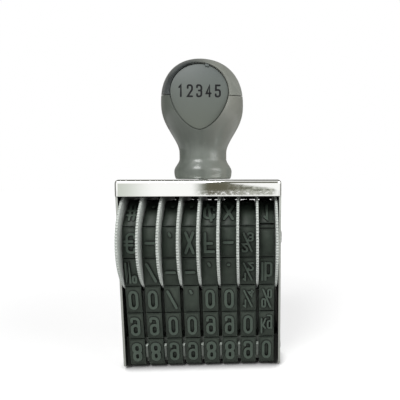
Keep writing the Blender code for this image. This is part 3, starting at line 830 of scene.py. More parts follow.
# Each is a list of strokes: whether the stroke closes, then (x, y, rounding) shares
STROKE_SHARES = {
    "0": [(1, [(-0.55, -1, 1), (0.55, -1, 1), (1, -0.62, 1), (1, 0.62, 1), (0.55, 1, 1),
               (-0.55, 1, 1), (-1, 0.62, 1), (-1, -0.62, 1)])],
    "1": [(0, [(-0.6, 0.62, 0), (0.15, 1, 0), (0.15, -1, 0)])],
    "2": [(0, [(-1, 0.5, 0), (-1, 1, 1), (1, 1, 1), (1, 0.2, 0.8), (-1, -1, 0), (1, -1, 0)])],
    "3": [(0, [(-1, 0.62, 0), (-1, 1, 1), (1, 1, 1), (1, 0.05, 0.9), (-0.2, 0.05, 0)]),
          (0, [(-0.2, 0.05, 0), (1, 0.05, 0.9), (1, -1, 1), (-1, -1, 1), (-1, -0.6, 0)])],
    "4": [(0, [(0.45, -1, 0), (0.45, 1, 0), (-1, -0.45, 0), (1, -0.45, 0)])],
    "5": [(0, [(0.9, 1, 0), (-0.85, 1, 0), (-0.95, 0.14, 0), (1, 0.22, 0.9), (1, -1, 1),
               (-1, -1, 1), (-1, -0.6, 0)])],
    "6": [(1, [(-1, -1, 1), (1, -1, 1), (1, 0.16, 1), (-1, 0.16, 1)]),
          (0, [(-1, -0.3, 0), (-1, 1, 1), (1, 1, 1), (1, 0.62, 0)])],
    "7": [(0, [(-1, 1, 0), (1, 1, 0), (-0.35, -1, 0)])],
    "8": [(1, [(-0.9, 0.04, 0.9), (0.9, 0.04, 0.9), (0.9, 1, 0.9), (-0.9, 1, 0.9)]),
          (1, [(-1, -1, 1), (1, -1, 1), (1, 0.04, 1), (-1, 0.04, 1)])],
    "9": [(1, [(-1, -0.16, 1), (1, -0.16, 1), (1, 1, 1), (-1, 1, 1)]),
          (0, [(1, 0.3, 0), (1, -1, 1), (-1, -1, 1), (-1, -0.62, 0)])],
    "hash": [(0, [(-0.78, -1, 0), (-0.52, 1, 0)]), (0, [(0.12, -1, 0), (0.38, 1, 0)]),
             (0, [(-1.2, 0.34, 0), (0.85, 0.34, 0)]), (0, [(-1.2, -0.34, 0), (0.85, -0.34, 0)])],
    "euro": [(0, [(0.85, 0.62, 0), (0.85, 1, 1), (-0.7, 1, 1), (-0.7, -1, 1), (0.85, -1, 1),
                  (0.85, -0.62, 0)]),
             (0, [(-1.15, 0.2, 0), (0.45, 0.2, 0)]), (0, [(-1.15, -0.2, 0), (0.45, -0.2, 0)])],
    "number": [(0, [(-1.15, -1.12, 0), (-1.1, 1.12, 0), (-0.42, -1.12, 0), (-0.35, 1.12, 0)]),
               (1, [(0.22, 0.4, 0.32), (0.86, 0.4, 0.32), (0.86, 1.12, 0.32),
                    (0.22, 1.12, 0.32)])],
    "percent": [(1, [(-0.98, 0.08, 0.34), (-0.3, 0.08, 0.34), (-0.3, 1.05, 0.34),
                     (-0.98, 1.05, 0.34)]),
                (0, [(-0.8, -1.1, 0), (0.8, 1.1, 0)]),
                (1, [(0.3, -1.05, 0.34), (0.98, -1.05, 0.34), (0.98, -0.08, 0.34),
                     (0.3, -0.08, 0.34)])],
    "stop": [(0, [(-0.08, -0.86, 0), (0.08, -0.86, 0)])],
    "comma": [(0, [(0.1, -0.78, 0), (-0.12, -1.02, 0)])],
    "dash": [(0, [(-0.85, 0, 0), (0.85, 0, 0)])],
    "slash": [(0, [(-0.85, -1, 0), (0.85, 1, 0)])],
    "equals": [(0, [(-0.9, 0.24, 0), (0.9, 0.24, 0)]), (0, [(-0.9, -0.24, 0), (0.9, -0.24, 0)])],
    "cross": [(0, [(-0.78, -1.1, 0), (0.78, 1.1, 0)]), (0, [(-0.78, 1.1, 0), (0.78, -1.1, 0)])],
    "times": [(0, [(-0.92, -0.95, 0), (0.92, 0.95, 0)]),
              (0, [(-0.92, 0.95, 0), (0.92, -0.95, 0)])],
    "cent": [(0, [(0.9, 0.34, 0), (0.9, 0.82, 0.95), (-1.12, 0.82, 0.95), (-1.12, -0.82, 0.95),
                  (0.9, -0.82, 0.95), (0.9, -0.34, 0)]),
             (0, [(-0.55, -1.2, 0), (0.45, 1.2, 0)])],
    "f": [(0, [(1, 1, 0), (-0.8, 1, 0), (-0.8, -1, 0)]), (0, [(-0.8, 0.08, 0), (0.6, 0.08, 0)])],
    "plus": [(0, [(-0.9, 0, 0), (0.9, 0, 0)]), (0, [(0, -0.5, 0), (0, 0.5, 0)])],
    "dollar": [(0, [(1, 0.55, 0), (1, 0.85, 0.9), (-1, 0.85, 0.9), (-1, 0, 0.9), (1, 0, 0.9),
                    (1, -0.85, 0.9), (-1, -0.85, 0.9), (-1, -0.55, 0)]),
               (0, [(0, -1.05, 0), (0, 1.05, 0)])],
    "lb": [(0, [(-0.95, 1, 0), (-0.95, -1, 0)]), (0, [(-0.3, 1, 0), (-0.3, -1, 0)]),
           (1, [(-0.3, -1, 0.5), (0.95, -1, 0.5), (0.95, 0.5, 0.5), (-0.3, 0.5, 0.5)])],
    "kg": [(0, [(-1.1, 1.05, 0), (-1.1, -0.7, 0)]), (0, [(-0.3, 0.5, 0), (-1.1, -0.1, 0)]),
           (0, [(-0.8, 0.1, 0), (-0.22, -0.7, 0)]),
           (1, [(0.25, -0.42, 0.38), (1.05, -0.42, 0.38), (1.05, 0.5, 0.38), (0.25, 0.5, 0.38)]),
           (0, [(1.05, 0.5, 0), (1.05, -1.1, 0.4), (0.25, -1.1, 0)])],
    "blank": [],
}
FRACTION_SHARES = {"quarter": ("1", "4"), "half": ("1", "2"), "two_thirds": ("2", "3")}
DIGITS = "0123456789"
FINE_CHARACTERS = ("lb", "euro", "dollar", "hash", "number")
FINE_STROKE_SHARE = 0.82
THIN_CHARACTERS = ("percent", "kg")
THIN_STROKE_SHARE = 0.64
HEAVY_CHARACTERS = ("8",)
HEAVY_STROKE_SHARE = 1.2
SMALL_STROKE_SHARE = 0.62
SMALL_WIDTH_SHARE = 0.48
SMALL_HEIGHT_SHARE = 0.41
SMALL_SIDE_SHARE = 0.62
SMALL_LIFT_SHARE = 0.6

# The cells of each band from its foot, up the back, over the drum and down the front
BAND_CHARACTERS = [
    ["7", "6", "5", "4", "3", "2", "1", "dollar", "hash", "euro", "number", "0", "9", "8"],
    ["7", "6", "5", "4", "3", "2", "1", "equals", "stop", "dash", "slash", "0", "9", "8"],
    ["8", "7", "6", "5", "4", "3", "2", "1", "stop", "comma", "dash", "slash", "0", "9"],
    ["8", "7", "6", "5", "4", "3", "2", "1", "stop", "cross", "dash", "comma", "0", "9"],
    ["7", "6", "5", "4", "3", "2", "1", "stop", "cent", "f", "comma", "0", "9", "8"],
    ["7", "6", "5", "4", "3", "2", "1", "plus", "times", "dash", "stop", "0", "9", "8"],
    ["8", "7", "6", "5", "4", "3", "2", "1", "blank", "two_thirds", "half", "quarter", "0",
     "9"],
    ["9", "8", "7", "6", "5", "4", "3", "2", "1", "blank", "lb", "percent", "kg", "0"],
]


def fillet(before, corner, after, radius, steps=5):
    """Points that round a corner between its two neighbours."""
    into, out = (before - corner), (after - corner)
    reach = min(into.length, out.length) * 0.5
    into.normalize()
    out.normalize()
    half = into.angle(out) / 2
    if radius <= 0 or half > radians(88):
        return [corner]
    length = min(radius / tan(half), reach)
    radius = length * tan(half)
    centre = corner + (into + out).normalized() * (radius / sin(half))
    first, last = corner + into * length - centre, corner + out * length - centre
    sweep = first.angle_signed(last)
    return [centre + Matrix.Rotation(-sweep * step / steps, 2) @ first
            for step in range(steps + 1)]


def stroke_path(closed, corners, width, height, middle):
    """The centre line of a stroke with its corners rounded, in metres."""
    points = [Vector((x * width, y * height)) + middle for x, y, rounding in corners]
    path = []
    for index, point in enumerate(points):
        rounding = corners[index][2] * width
        ends = index in (0, len(points) - 1)
        if rounding == 0 or (ends and not closed):
            path.append(point)
            continue
        before, after = points[index - 1], points[(index + 1) % len(points)]
        path += fillet(before, point, after, rounding)
    lean = [path[0]]
    for point in path[1:]:
        if (point - lean[-1]).length > 10 * WELD:
            lean.append(point)
    if closed and (lean[0] - lean[-1]).length < 10 * WELD:
        lean.pop()
    return lean


def offset_line(path, closed, distance):
    """The path moved sideways, with mitred corners."""
    line = []
    last = len(path) - 1
    for index, point in enumerate(path):
        before = path[index - 1] if closed or index > 0 else None
        after = path[(index + 1) % len(path)] if closed or index < last else None
        into = (point - before).normalized() if before else (after - point).normalized()
        out = (after - point).normalized() if after else into
        sides = [Vector((-way.y, way.x)) for way in (into, out)]
        mean = (sides[0] + sides[1]).normalized()
        line.append(point + mean * (distance / max(0.5, mean.dot(sides[0]))))
    return line


def cap_line(centre, way, distance, steps=6):
    """A half round from the left of a way of travel to its right."""
    side = Vector((-way.y, way.x)) * distance
    return [centre + Matrix.Rotation(-pi * step / steps, 2) @ side for step in range(1, steps)]


def stroke_rings(path, closed, distance):
    """The edges of a stroke: one ring round an open one, two round a closed one."""
    left = offset_line(path, closed, distance)
    right = offset_line(path, closed, -distance)
    if closed:
        return [left, right]
    ahead = (path[-1] - path[-2]).normalized()
    back = (path[0] - path[1]).normalized()
    end, start = cap_line(path[-1], ahead, distance), cap_line(path[0], back, distance)
    return [left + end + list(reversed(right)) + start]


def stroke_mesh(path, closed, distance, draft, base, top, place):
    """A raised stroke with sloping sides; place lays (x, y, rise) on the stamp."""
    rims = stroke_rings(path, closed, distance)
    feet = stroke_rings(path, closed, distance + draft)
    verts, faces, starts = [], [], []
    for ring, rise in [(rim, top) for rim in rims] + [(foot, base) for foot in feet]:
        starts.append(len(verts))
        verts += [place(point.x, point.y, rise) for point in ring]
    count = len(rims[0])
    pairs = [(starts[0], starts[1])] if not closed else [
        (starts[0], starts[2]), (starts[1], starts[3]), (starts[0], starts[1]),
        (starts[2], starts[3]),
    ]
    for first, second in pairs:
        faces += ring_faces(first, second, count)
    if not closed:
        faces += [tuple(range(start, start + count)) for start in starts]
    return mend(mesh_from("stroke", verts, faces))


def character_strokes(name):
    """Strokes of a character as (closed, path, half width of the stroke)."""
    width = LETTER_HALF_WIDTH if name in DIGITS else SIGN_HALF_WIDTH
    height = LETTER_HALF_HEIGHT
    if name not in FRACTION_SHARES:
        share = FINE_STROKE_SHARE if name in FINE_CHARACTERS else 1
        share = THIN_STROKE_SHARE if name in THIN_CHARACTERS else share
        share = HEAVY_STROKE_SHARE if name in HEAVY_CHARACTERS else share
        return [(closed, stroke_path(closed, corners, width, height, Vector((0, 0))),
                 STROKE_HALF_WIDTH * share) for closed, corners in STROKE_SHARES[name]]
    strokes = []
    thin = STROKE_HALF_WIDTH * SMALL_STROKE_SHARE
    for digit, side in zip(FRACTION_SHARES[name], (-1, 1)):
        middle = Vector((side * width * SMALL_SIDE_SHARE, -side * height * SMALL_LIFT_SHARE))
        for closed, corners in STROKE_SHARES[digit]:
            path = stroke_path(
                closed, corners, width * SMALL_WIDTH_SHARE, height * SMALL_HEIGHT_SHARE, middle
            )
            strokes.append((closed, path, thin))
    slash = stroke_path(0, STROKE_SHARES["slash"][0][1], width, height, Vector((0, 0)))
    return strokes + [(0, slash, thin)]


def character_mesh(name, scale, base, top, place):
    """A raised character; strokes that cross differ in height by a hair."""
    meshes = []
    for number, (closed, path, distance) in enumerate(character_strokes(name)):
        path = [point * scale for point in path]
        crest = top - number * STROKE_STAGGER
        meshes.append(stroke_mesh(
            path, closed, distance * scale, STROKE_DRAFT * scale, base, crest, place
        ))
    return joined(meshes)


# Number bands


def band_corners():
    """Corners of a band's inner face as (Y, Z), one cell apart, from the lower front one."""
    corners = [Vector((-HALF_CELL, BAND_THICKNESS)), Vector((HALF_CELL, BAND_THICKNESS))]
    foot, shoulder = corners[1], Vector((BAND_APOTHEM, AXLE_HEIGHT - HALF_CELL))
    climb = [foot.lerp(shoulder, step / CELLS_ON_SIDE) for step in range(1, CELLS_ON_SIDE + 1)]
    radius = BAND_APOTHEM / cos(SIDE_ANGLE / 2)
    turns = [SIDE_ANGLE * (side - 0.5) for side in range(1, CELLS_PER_TURN // 2 + 1)]
    over = [Vector((radius * cos(a), AXLE_HEIGHT + radius * sin(a))) for a in turns]
    descent = [Vector((-point.x, point.y)) for point in reversed(climb)]
    return corners + climb + over + descent


def band_backing_mesh(corners):
    """The smooth inner part of a band: a loop of one thickness."""
    count = len(corners)
    outer = []
    for index, corner in enumerate(corners):
        before = (corner - corners[index - 1]).normalized()
        after = (corners[(index + 1) % count] - corner).normalized()
        sides = [Vector((way.y, -way.x)) for way in (before, after)]
        outer.append(corner + (sides[0] + sides[1]) * (BAND_BACKING / (1 + sides[0].dot(sides[1]))))
    verts, half = [], BAND_WIDTH / 2
    for x in (-half, half):
        for line in (corners, outer):
            verts += [(x, point.x, point.y) for point in line]
    faces = []
    for low, high in ((0, 1), (2, 3), (0, 2), (1, 3)):
        faces += ring_faces(low * count, high * count, count)
    return mend(mesh_from("backing", verts, faces))


def wall_leans(corners):
    """How far the two end walls of each cell's block lean, as shares of their rise.

    Over the drum the walls of neighbours lean together and leave a narrow groove. At
    the sharp bends of the foot they stay square, and the blocks part.
    """
    count = len(corners)
    ways = [(corners[(index + 1) % count] - corners[index]).normalized()
            for index in range(count)]
    bends = [ways[index - 1].angle(ways[index]) for index in range(count)]
    leans = [tan(bend / 2) if bend < OPEN_BEND else 0.0 for bend in bends]
    return [(leans[index], leans[(index + 1) % count]) for index in range(count)]


def rounded_block(name, collection, leans, trims):
    """One cell as it lies at the foot: a rounded block under its backing, with a low plinth."""
    wide, gap = BAND_WIDTH / 2, CELL_GROOVE / 2
    shape = bmesh.new()
    bmesh.ops.create_cube(shape, size=1.0)
    for vert in shape.verts:
        rise = BAND_BACKING - RUNNING_GAP if vert.co.z > 0 else BAND_BACKING + BLOCK_RISE
        end = 1 if vert.co.y > 0 else 0
        reach = HALF_CELL - gap - trims[end] + rise * leans[end]
        vert.co = (2 * wide * vert.co.x, reach if end else -reach, -rise)
    below = [face for face in shape.faces if face.normal.z < -0.5]
    bmesh.ops.inset_individual(shape, faces=below, thickness=PLINTH_MARGIN)
    bmesh.ops.inset_individual(
        shape, faces=below, thickness=PLINTH_RISE, depth=PLINTH_RISE, use_even_offset=True
    )
    block = link_piece(name, mesh_of(shape, name), collection)
    bevel(block, BLOCK_EDGE, 3, radians(30))
    bake(block)
    return smooth(block, radians(50))


def places_object(name, places, turns, choices):
    """Points that carry the turn and the choice of the copy set on them."""
    mesh = mesh_from(name, places, [])
    turn = mesh.attributes.new("turn", "FLOAT", "POINT")
    choice = mesh.attributes.new("choice", "INT", "POINT")
    turn.data.foreach_set("value", turns)
    choice.data.foreach_set("value", choices)
    return link_piece(name, mesh, workshop)


def cell_blocks(collection_name, name, leans, splice=0.0):
    """A collection of one band's blocks; a splice shortens the two that meet at it."""
    blocks = bpy.data.collections.new(collection_name)
    before, after = SPLICED_CELLS
    trims = {before: (0.0, splice), after: (splice, 0.0)}
    for number, lean in enumerate(leans):
        rounded_block(f"{name}_{number:02d}", blocks, lean, trims.get(number, (0.0, 0.0)))
    return blocks


def type_font(names):
    """A collection of raised characters, in the order of their names."""
    font = bpy.data.collections.new("type_font")
    for number, name in enumerate(names):
        mesh = character_mesh(
            name, 1.0, BAND_BACKING + BLOCK_RISE / 2, BAND_THICKNESS - PLINTH_RISE / 4,
            lambda x, y, rise: (x, y, -rise),
        )
        smooth(link_piece(f"type_{number:02d}", mesh, font), radians(35))
    return font


def build_bands():
    """Eight bands: a backing each, a block on every cell and a character on every block."""
    corners = band_corners()
    pairs = list(zip(corners, corners[1:] + corners[:1]))
    middles = [(0, *((start + end) / 2)) for start, end in pairs]
    turns = [atan2(end.y - start.y, end.x - start.x) for start, end in pairs]
    backing = band_backing_mesh(corners)
    leans = wall_leans(corners)
    plain = cell_blocks("cell_blocks", "block", leans)
    spliced = cell_blocks("spliced_blocks", "spliced", leans, SPLICE)
    names = sorted(set(name for characters in BAND_CHARACTERS for name in characters))
    font = type_font(names)
    for number, characters in enumerate(BAND_CHARACTERS, 1):
        piece = link_piece(f"rubber_band_{number}", backing.copy())
        bevel(piece, BACKING_EDGE, 2)
        bake(piece)
        coat(smooth(piece), band_rubber, type_rubber)
        choices = [names.index(name) for name in characters]
        blocks = spliced if number == SPLICED_BAND else plain
        for kind, picks, copies, rubber in (
            ("cells", list(range(len(middles))), blocks, band_rubber),
            ("type", choices, font, type_rubber),
        ):
            places = places_object(f"{kind}_{number}", middles, turns, picks)
            add_geometry_tree(piece, copies_at_places, Places=places, Copies=copies,
                              Axis=(1, 0, 0), Material=rubber)
        bake(piece)
        middle = (number - 0.5) * BAND_PITCH - DISC_OFFSET
        piece.data.transform(Matrix.Translation((middle, 0, 0)))
        set_on(piece, "stamp_frame", "band_rubber", f"number_band_{number}")


# Number wheels


def ridge(name, radius, length):
    """A bar with rounded ends that lies along X, one ridge of a thumb disc or a drum."""
    sides = RIDGE_SIDES
    half = length / 2
    straight = half - radius * RIDGE_END_LENGTH_SHARE
    rings = [(-half, RIDGE_END_SHARE), (-straight, 1), (straight, 1), (half, RIDGE_END_SHARE)]
    verts = [(x, radius * share * cos(2 * pi * side / sides),
              radius * share * sin(2 * pi * side / sides))
             for x, share in rings for side in range(sides)]
    last = (len(rings) - 1) * sides
    faces = [tuple(range(sides)), tuple(range(last, last + sides))]
    for start in range(0, last, sides):
        faces += ring_faces(start, start + sides, sides)
    piece = link_piece(name, mend(mesh_from(name, verts, faces)), workshop)
    return smooth(piece, radians(50))


def wheel_profile(with_drum):
    """Section of a wheel as (radius, place along the axle)."""
    half, chamfer = DISC_THICKNESS / 2, DISC_THICKNESS / 5
    rim = DISC_RADIUS - RIDGE_RADIUS * SUNK_SHARE
    bore = AXLE_RADIUS + SEAT_GAP
    profile = [(bore, -half), (rim - chamfer, -half), (rim, -half + chamfer),
               (rim, half - chamfer), (rim - chamfer, half)]
    if not with_drum:
        return profile + [(bore, half)]
    drum = DRUM_RADIUS - GRIP_RADIUS * SUNK_SHARE
    boss, boss_end = drum - GRIP_RADIUS, DRUM_END + RUNNING_GAP - BOSS_GAP
    return profile + [(drum, half), (drum, DRUM_END - chamfer), (drum - chamfer, DRUM_END),
                      (boss, DRUM_END), (boss, boss_end), (bore, boss_end)]


def build_wheels():
    """Eight thumb discs with their drums, and the end disc that turns with the last."""
    half = DISC_THICKNESS / 2
    thumb_ridge = ridge("thumb_ridge", RIDGE_RADIUS, DISC_THICKNESS * RIDGE_LENGTH_SHARE)
    grip_ridge = ridge("grip_ridge", GRIP_RADIUS, DRUM_END - half)
    for number in range(1, BAND_COUNT + 2):
        drum = number <= BAND_COUNT
        mesh = turned(wheel_profile(drum), WHEEL_STEPS, ACROSS, closed=True)
        name = f"thumb_wheel_{number}" if drum else "end_thumb_disc"
        piece = coat(smooth(link_piece(name, mesh)), disc_plastic)
        add_geometry_tree(
            piece, ring_of_copies, Copy=thumb_ridge, Count=RIDGE_COUNT,
            Radius=DISC_RADIUS - RIDGE_RADIUS, Middle=(0, 0, 0), Material=disc_plastic,
        )
        if drum:
            add_geometry_tree(
                piece, ring_of_copies, Copy=grip_ridge, Count=GRIP_COUNT,
                Radius=DRUM_RADIUS - GRIP_RADIUS, Middle=((half + DRUM_END) / 2, 0, 0),
                Material=disc_plastic,
            )
        bake(piece)
        place = ((number - 1) * BAND_PITCH - DISC_OFFSET, 0, AXLE_HEIGHT)
        piece.data.transform(Matrix.Translation(place))
        node = f"number_wheel_{number}" if drum else "end_disc"
        body = f"wheel_{min(number, BAND_COUNT)}"
        set_on(piece, body, "wheel_grey_plastic", node)


# Frame, rivets and axle


def pressed_skin():
    """Outer skin of the frame: a tray turned down, with a cheek drawn from each end."""
    shape = bmesh.new()
    bmesh.ops.create_cube(shape, size=1.0)
    for vert in shape.verts:
        height = FRAME_TOP if vert.co.z > 0 else SKIRT_BOTTOM
        vert.co = (2 * FRAME_HALF_WIDTH * vert.co.x, 2 * SKIRT_HALF_DEPTH * vert.co.y, height)
    floor = [face for face in shape.faces if face.normal.z < -0.5]
    for vert in floor[0].verts:
        if vert.co.y > 0:
            vert.co.z -= REAR_SKIRT_DROP
    bmesh.ops.delete(shape, geom=floor, context="FACES_ONLY")
    folds = [edge for edge in shape.edges if not edge.is_boundary]
    bmesh.ops.bevel(shape, geom=folds, offset=CORNER_RADIUS, segments=CORNER_SEGMENTS,
                    profile=0.5, affect="EDGES", clamp_overlap=True)
    limit = FRAME_HALF_WIDTH - WELD
    ends = [edge for edge in shape.edges
            if edge.is_boundary and all(abs(vert.co.x) > limit for vert in edge.verts)]
    drawn = bmesh.ops.extrude_edge_only(shape, edges=ends)["geom"]
    feet = [item for item in drawn if isinstance(item, bmesh.types.BMVert)]
    for vert in feet:
        vert.co.y = CHEEK_FOOT_HALF_DEPTH if vert.co.y > 0 else -CHEEK_FOOT_HALF_DEPTH
        vert.co.z = CHEEK_LIFT
    bmesh.ops.bevel(shape, geom=feet, offset=CHEEK_FOOT_RADIUS, segments=FOOT_SEGMENTS,
                    profile=0.5, affect="VERTICES")
    bmesh.ops.recalc_face_normals(shape, faces=shape.faces)
    return mesh_of(shape, "skin")


def build_frame():
    """The skin thickened inwards to a sheet: chrome outside, painted dark inside as shade, cut
    edges paler.
    """
    piece = link_piece("pressed_frame", pressed_skin())
    sheet = piece.modifiers.new("sheet", "SOLIDIFY")
    sheet.thickness = SHEET
    sheet.offset = -1.0
    sheet.use_even_offset = True
    sheet.material_offset = 1
    sheet.material_offset_rim = 2
    coat(piece, chrome, inside_shade_steel, edge_steel)
    bevel(piece, LIP_RADIUS, 3, radians(60))
    bake(piece)
    weighted(piece)
    set_on(piece, "stamp_frame", "bright_chrome", "frame")


def head_profile(radius, rise, shank, depth, steps=8):
    """A low domed head on its shank, from its crown down."""
    turns = [pi / 2 * step / steps for step in range(steps + 1)]
    dome = [(radius * sin(a), rise * cos(a)) for a in turns]
    return dome + [(shank, 0), (shank, -depth), (0, -depth)]


def build_rivets():
    """Four bridge rivets, their heads set outside the cheeks."""
    heads = bpy.data.collections.new("rivet_heads")
    profile = head_profile(RIVET_HEAD_RADIUS, RIVET_HEAD_RISE, RIVET_RADIUS, RIVET_GRIP + SHEET)
    head = turned(profile, HEAD_STEPS, ACROSS)
    smooth(link_piece("rivet_head", head, heads))
    places, turns = [], []
    for side in (1, -1):
        for row in (-1, 1):
            places.append((side * HEAD_SEAT, row * RIVET_SPACING / 2, RIVET_HEIGHT))
            turns.append(0.0 if side > 0 else pi)
    spots = places_object("rivet_spots", places, turns, [0] * len(places))
    piece = link_piece("bridge_rivets", mesh_from("bridge_rivets", [], []))
    coat(piece, rivet_steel)
    add_geometry_tree(piece, copies_at_places, Places=spots, Copies=heads, Axis=(0, 0, 1),
                      Material=rivet_steel)
    bake(piece)
    nodes = [f"bridge_rivet_{number}" for number in range(1, len(places) + 1)]
    set_on(piece, "stamp_frame", "bright_steel", *nodes)


def build_axle():
    """The axle, with a head at one end and upset over the washer at the other."""
    upset_seat = HEAD_SEAT + WASHER_THICKNESS + SEAT_GAP
    profile = [(radius, height + HEAD_SEAT) for radius, height in
               head_profile(AXLE_HEAD_RADIUS, AXLE_HEAD_RISE, AXLE_RADIUS, 0)[:-2]]
    profile += [(AXLE_RADIUS, -upset_seat)]
    far = head_profile(UPSET_RADIUS, UPSET_RISE, AXLE_RADIUS, 0)[:-3]
    profile += [(radius, -upset_seat - height) for radius, height in reversed(far)]
    mesh = turned(profile, AXLE_STEPS, ACROSS)
    mesh.transform(Matrix.Translation((0, 0, AXLE_HEIGHT)))
    piece = coat(smooth(link_piece("riveted_axle", mesh)), rivet_steel)
    set_on(piece, "stamp_frame", "bright_steel", "axle")


# Handle


def eased(share):
    """A share from 0 to 1 that starts and ends gently."""
    return share * share * (3 - 2 * share)


def dome_profile(wall, low, steps=36):
    """The bulb's upper half as (radius, height), a wall's thickness in, down to a height."""
    radius, rise = BULB_RADIUS - wall, CROWN_RISE - wall
    power = 2 / CROWN_POWER
    last = acos(((low - BULB_CENTRE) / rise) ** (1 / power))
    turns = [last * step / steps for step in range(steps + 1)]
    return [(radius * sin(a) ** power, BULB_CENTRE + rise * cos(a) ** power) for a in turns]


def flank_profile(steps=26):
    """The bulb's lower half, from its widest ring down to the neck."""
    drop = BULB_HEIGHT - NECK_HEIGHT
    profile = []
    for step in range(steps + 1):
        share = (step / steps) ** FLANK_POWER
        radius = BULB_RADIUS - (BULB_RADIUS - NECK_RADIUS) * eased(share)
        profile.append((radius, BULB_CENTRE - drop * step / steps))
    return profile


def bead_profile(steps=14):
    """Round bead at the handle's foot, from the neck down to the base."""
    profile = []
    for step in range(steps + 1):
        share = step / steps
        swell = (BEAD_RADIUS - NECK_RADIUS) * eased(share)
        height = BEAD_HEIGHT + (BELLY_HEIGHT - BEAD_HEIGHT) * share
        profile.append((NECK_RADIUS + swell, HANDLE_BASE + height))
    for step in range(1, steps + 1):
        turn = pi / 2 * step / steps
        radius = BEAD_BASE_RADIUS + (BEAD_RADIUS - BEAD_BASE_RADIUS) * cos(turn)
        profile.append((radius, HANDLE_BASE + BELLY_HEIGHT * (1 - sin(turn))))
    return profile + [(0, HANDLE_BASE)]


def label_outline(margin, steps=72):
    """Round above and drawn down to a blunt point, as (X, Z), with a margin all round."""
    width = LABEL_HALF_WIDTH + margin
    right = []
    for step in range(1, steps):
        turn = pi * step / steps
        share = cos(turn)
        if share > 0:
            across = width * (1 - share ** LABEL_POINT) ** LABEL_FLANK
            right.append((across, LABEL_CENTRE - (LABEL_DROP + margin) * share))
        else:
            right.append((width * sin(turn), LABEL_CENTRE - (LABEL_CROWN + margin) * share))
    tip, crown = LABEL_CENTRE - LABEL_DROP - margin, LABEL_CENTRE + LABEL_CROWN + margin
    return [(0, tip)] + right + [(0, crown)] + [(-x, z) for x, z in reversed(right)]


def on_facet(x, z, depth):
    """A point in front of the bulb's axis, leaning with the facet."""
    return (x, -depth + FACET_LEAN * (z - BULB_CENTRE), z)


def label_slab(margin, back, front):
    """A slab of the label's outline, between two depths in front of the bulb's axis."""
    return slab(label_outline(margin), back, front, on_facet)


def above_seam(gap):
    """All the room above the leaning plane of the seam, lifted by a gap."""
    low, high = SEAM + gap, BULB_CENTRE + CROWN_RISE + OVERRUN
    reach = CLEAR_OF_BULB
    corners = [(-reach, -reach), (reach, -reach), (reach, reach), (-reach, reach)]
    return slab(corners, low, high, lambda x, y, z: (x, y, z + SEAM_LEAN * y))


def cut_pocket(piece, back):
    """Cuts the label's facet into a piece, and its pocket down to a depth."""
    cut(piece, label_slab(LABEL_RIM, FACET_DEPTH, CLEAR_OF_BULB))
    cut(piece, label_slab(SEAT_GAP, back, CLEAR_OF_BULB))


def build_bulb():
    """The handle, turned in one and cut back where the crown and the label sit."""
    wall = CROWN_WALL + SEAT_GAP
    profile = dome_profile(0, BULB_CENTRE) + flank_profile()[1:] + bead_profile()
    piece = link_piece("bulb_handle", turned(profile, HANDLE_STEPS))
    shell = link_piece("shell", above_seam(0))
    cut(shell, turned(dome_profile(wall, BULB_CENTRE) + [(0, BULB_CENTRE)], HANDLE_STEPS))
    cut(shell, label_slab(0, 0, CLEAR_OF_BULB + OVERRUN))
    cut(piece, shell.data)
    bpy.data.objects.remove(shell)
    cut_pocket(piece, LABEL_BACK - SEAT_GAP)
    mend(piece.data)
    coat(piece, handle_plastic)
    smooth(piece)
    set_on(piece, "stamp_frame", "handle_grey_plastic", "handle")


def build_crown():
    """The smoked cap over the bulb, a shell above the seam."""
    inner = list(reversed(dome_profile(CROWN_WALL, BULB_CENTRE)))
    crown = turned(dome_profile(0, BULB_CENTRE) + inner, HANDLE_STEPS)
    piece = link_piece("smoked_crown", crown)
    cut(piece, above_seam(SEAT_GAP), "INTERSECT")
    cut_pocket(piece, 0)
    mend(piece.data)
    coat(piece, crown_smoke)
    smooth(piece)
    set_on(piece, "stamp_frame", "crown_smoke_plastic", "crown_cap")


def build_label():
    """The label plate, with the small tab that lies over the facet's upper edge."""
    outline = label_outline(LABEL_RIM - WELD)
    tab = [point for point in outline
           if point[1] > LABEL_CENTRE and TAB_LEFT < point[0] < TAB_LEFT + TAB_WIDTH]
    inner = [(x - TAB_REACH * sin(TAB_TURN), z - TAB_REACH * cos(TAB_TURN)) for x, z in tab]
    piece = link_piece("label_face", joined([
        label_slab(0, LABEL_BACK, LABEL_FACE),
        slab(tab + list(reversed(inner)), FACET_DEPTH + WELD, FACET_DEPTH + TAB_RISE, on_facet),
    ]))
    bevel(piece, LABEL_EDGE, 3)
    bake(piece)
    coat(smooth(piece), label_grey)
    set_on(piece, "stamp_frame", "label_grey_plastic", "label_plate")


def build_label_print():
    """Plain figures printed in black across the label."""
    figures = "12345"
    meshes = []
    for number, digit in enumerate(figures):
        shift = (number - len(figures) // 2) * FIGURE_ADVANCE

        def place(x, y, rise, shift=shift):
            return on_facet(x + shift, LABEL_CENTRE + FIGURE_LIFT + y, LABEL_FACE + rise)

        meshes.append(character_mesh(digit, FIGURE_SCALE, -FIGURE_SINK, FIGURE_RISE, place))
    piece = link_piece("label_figures", joined(meshes))
    coat(piece, label_ink)
    set_on(piece, "stamp_frame", "label_grey_plastic")


# Bridge


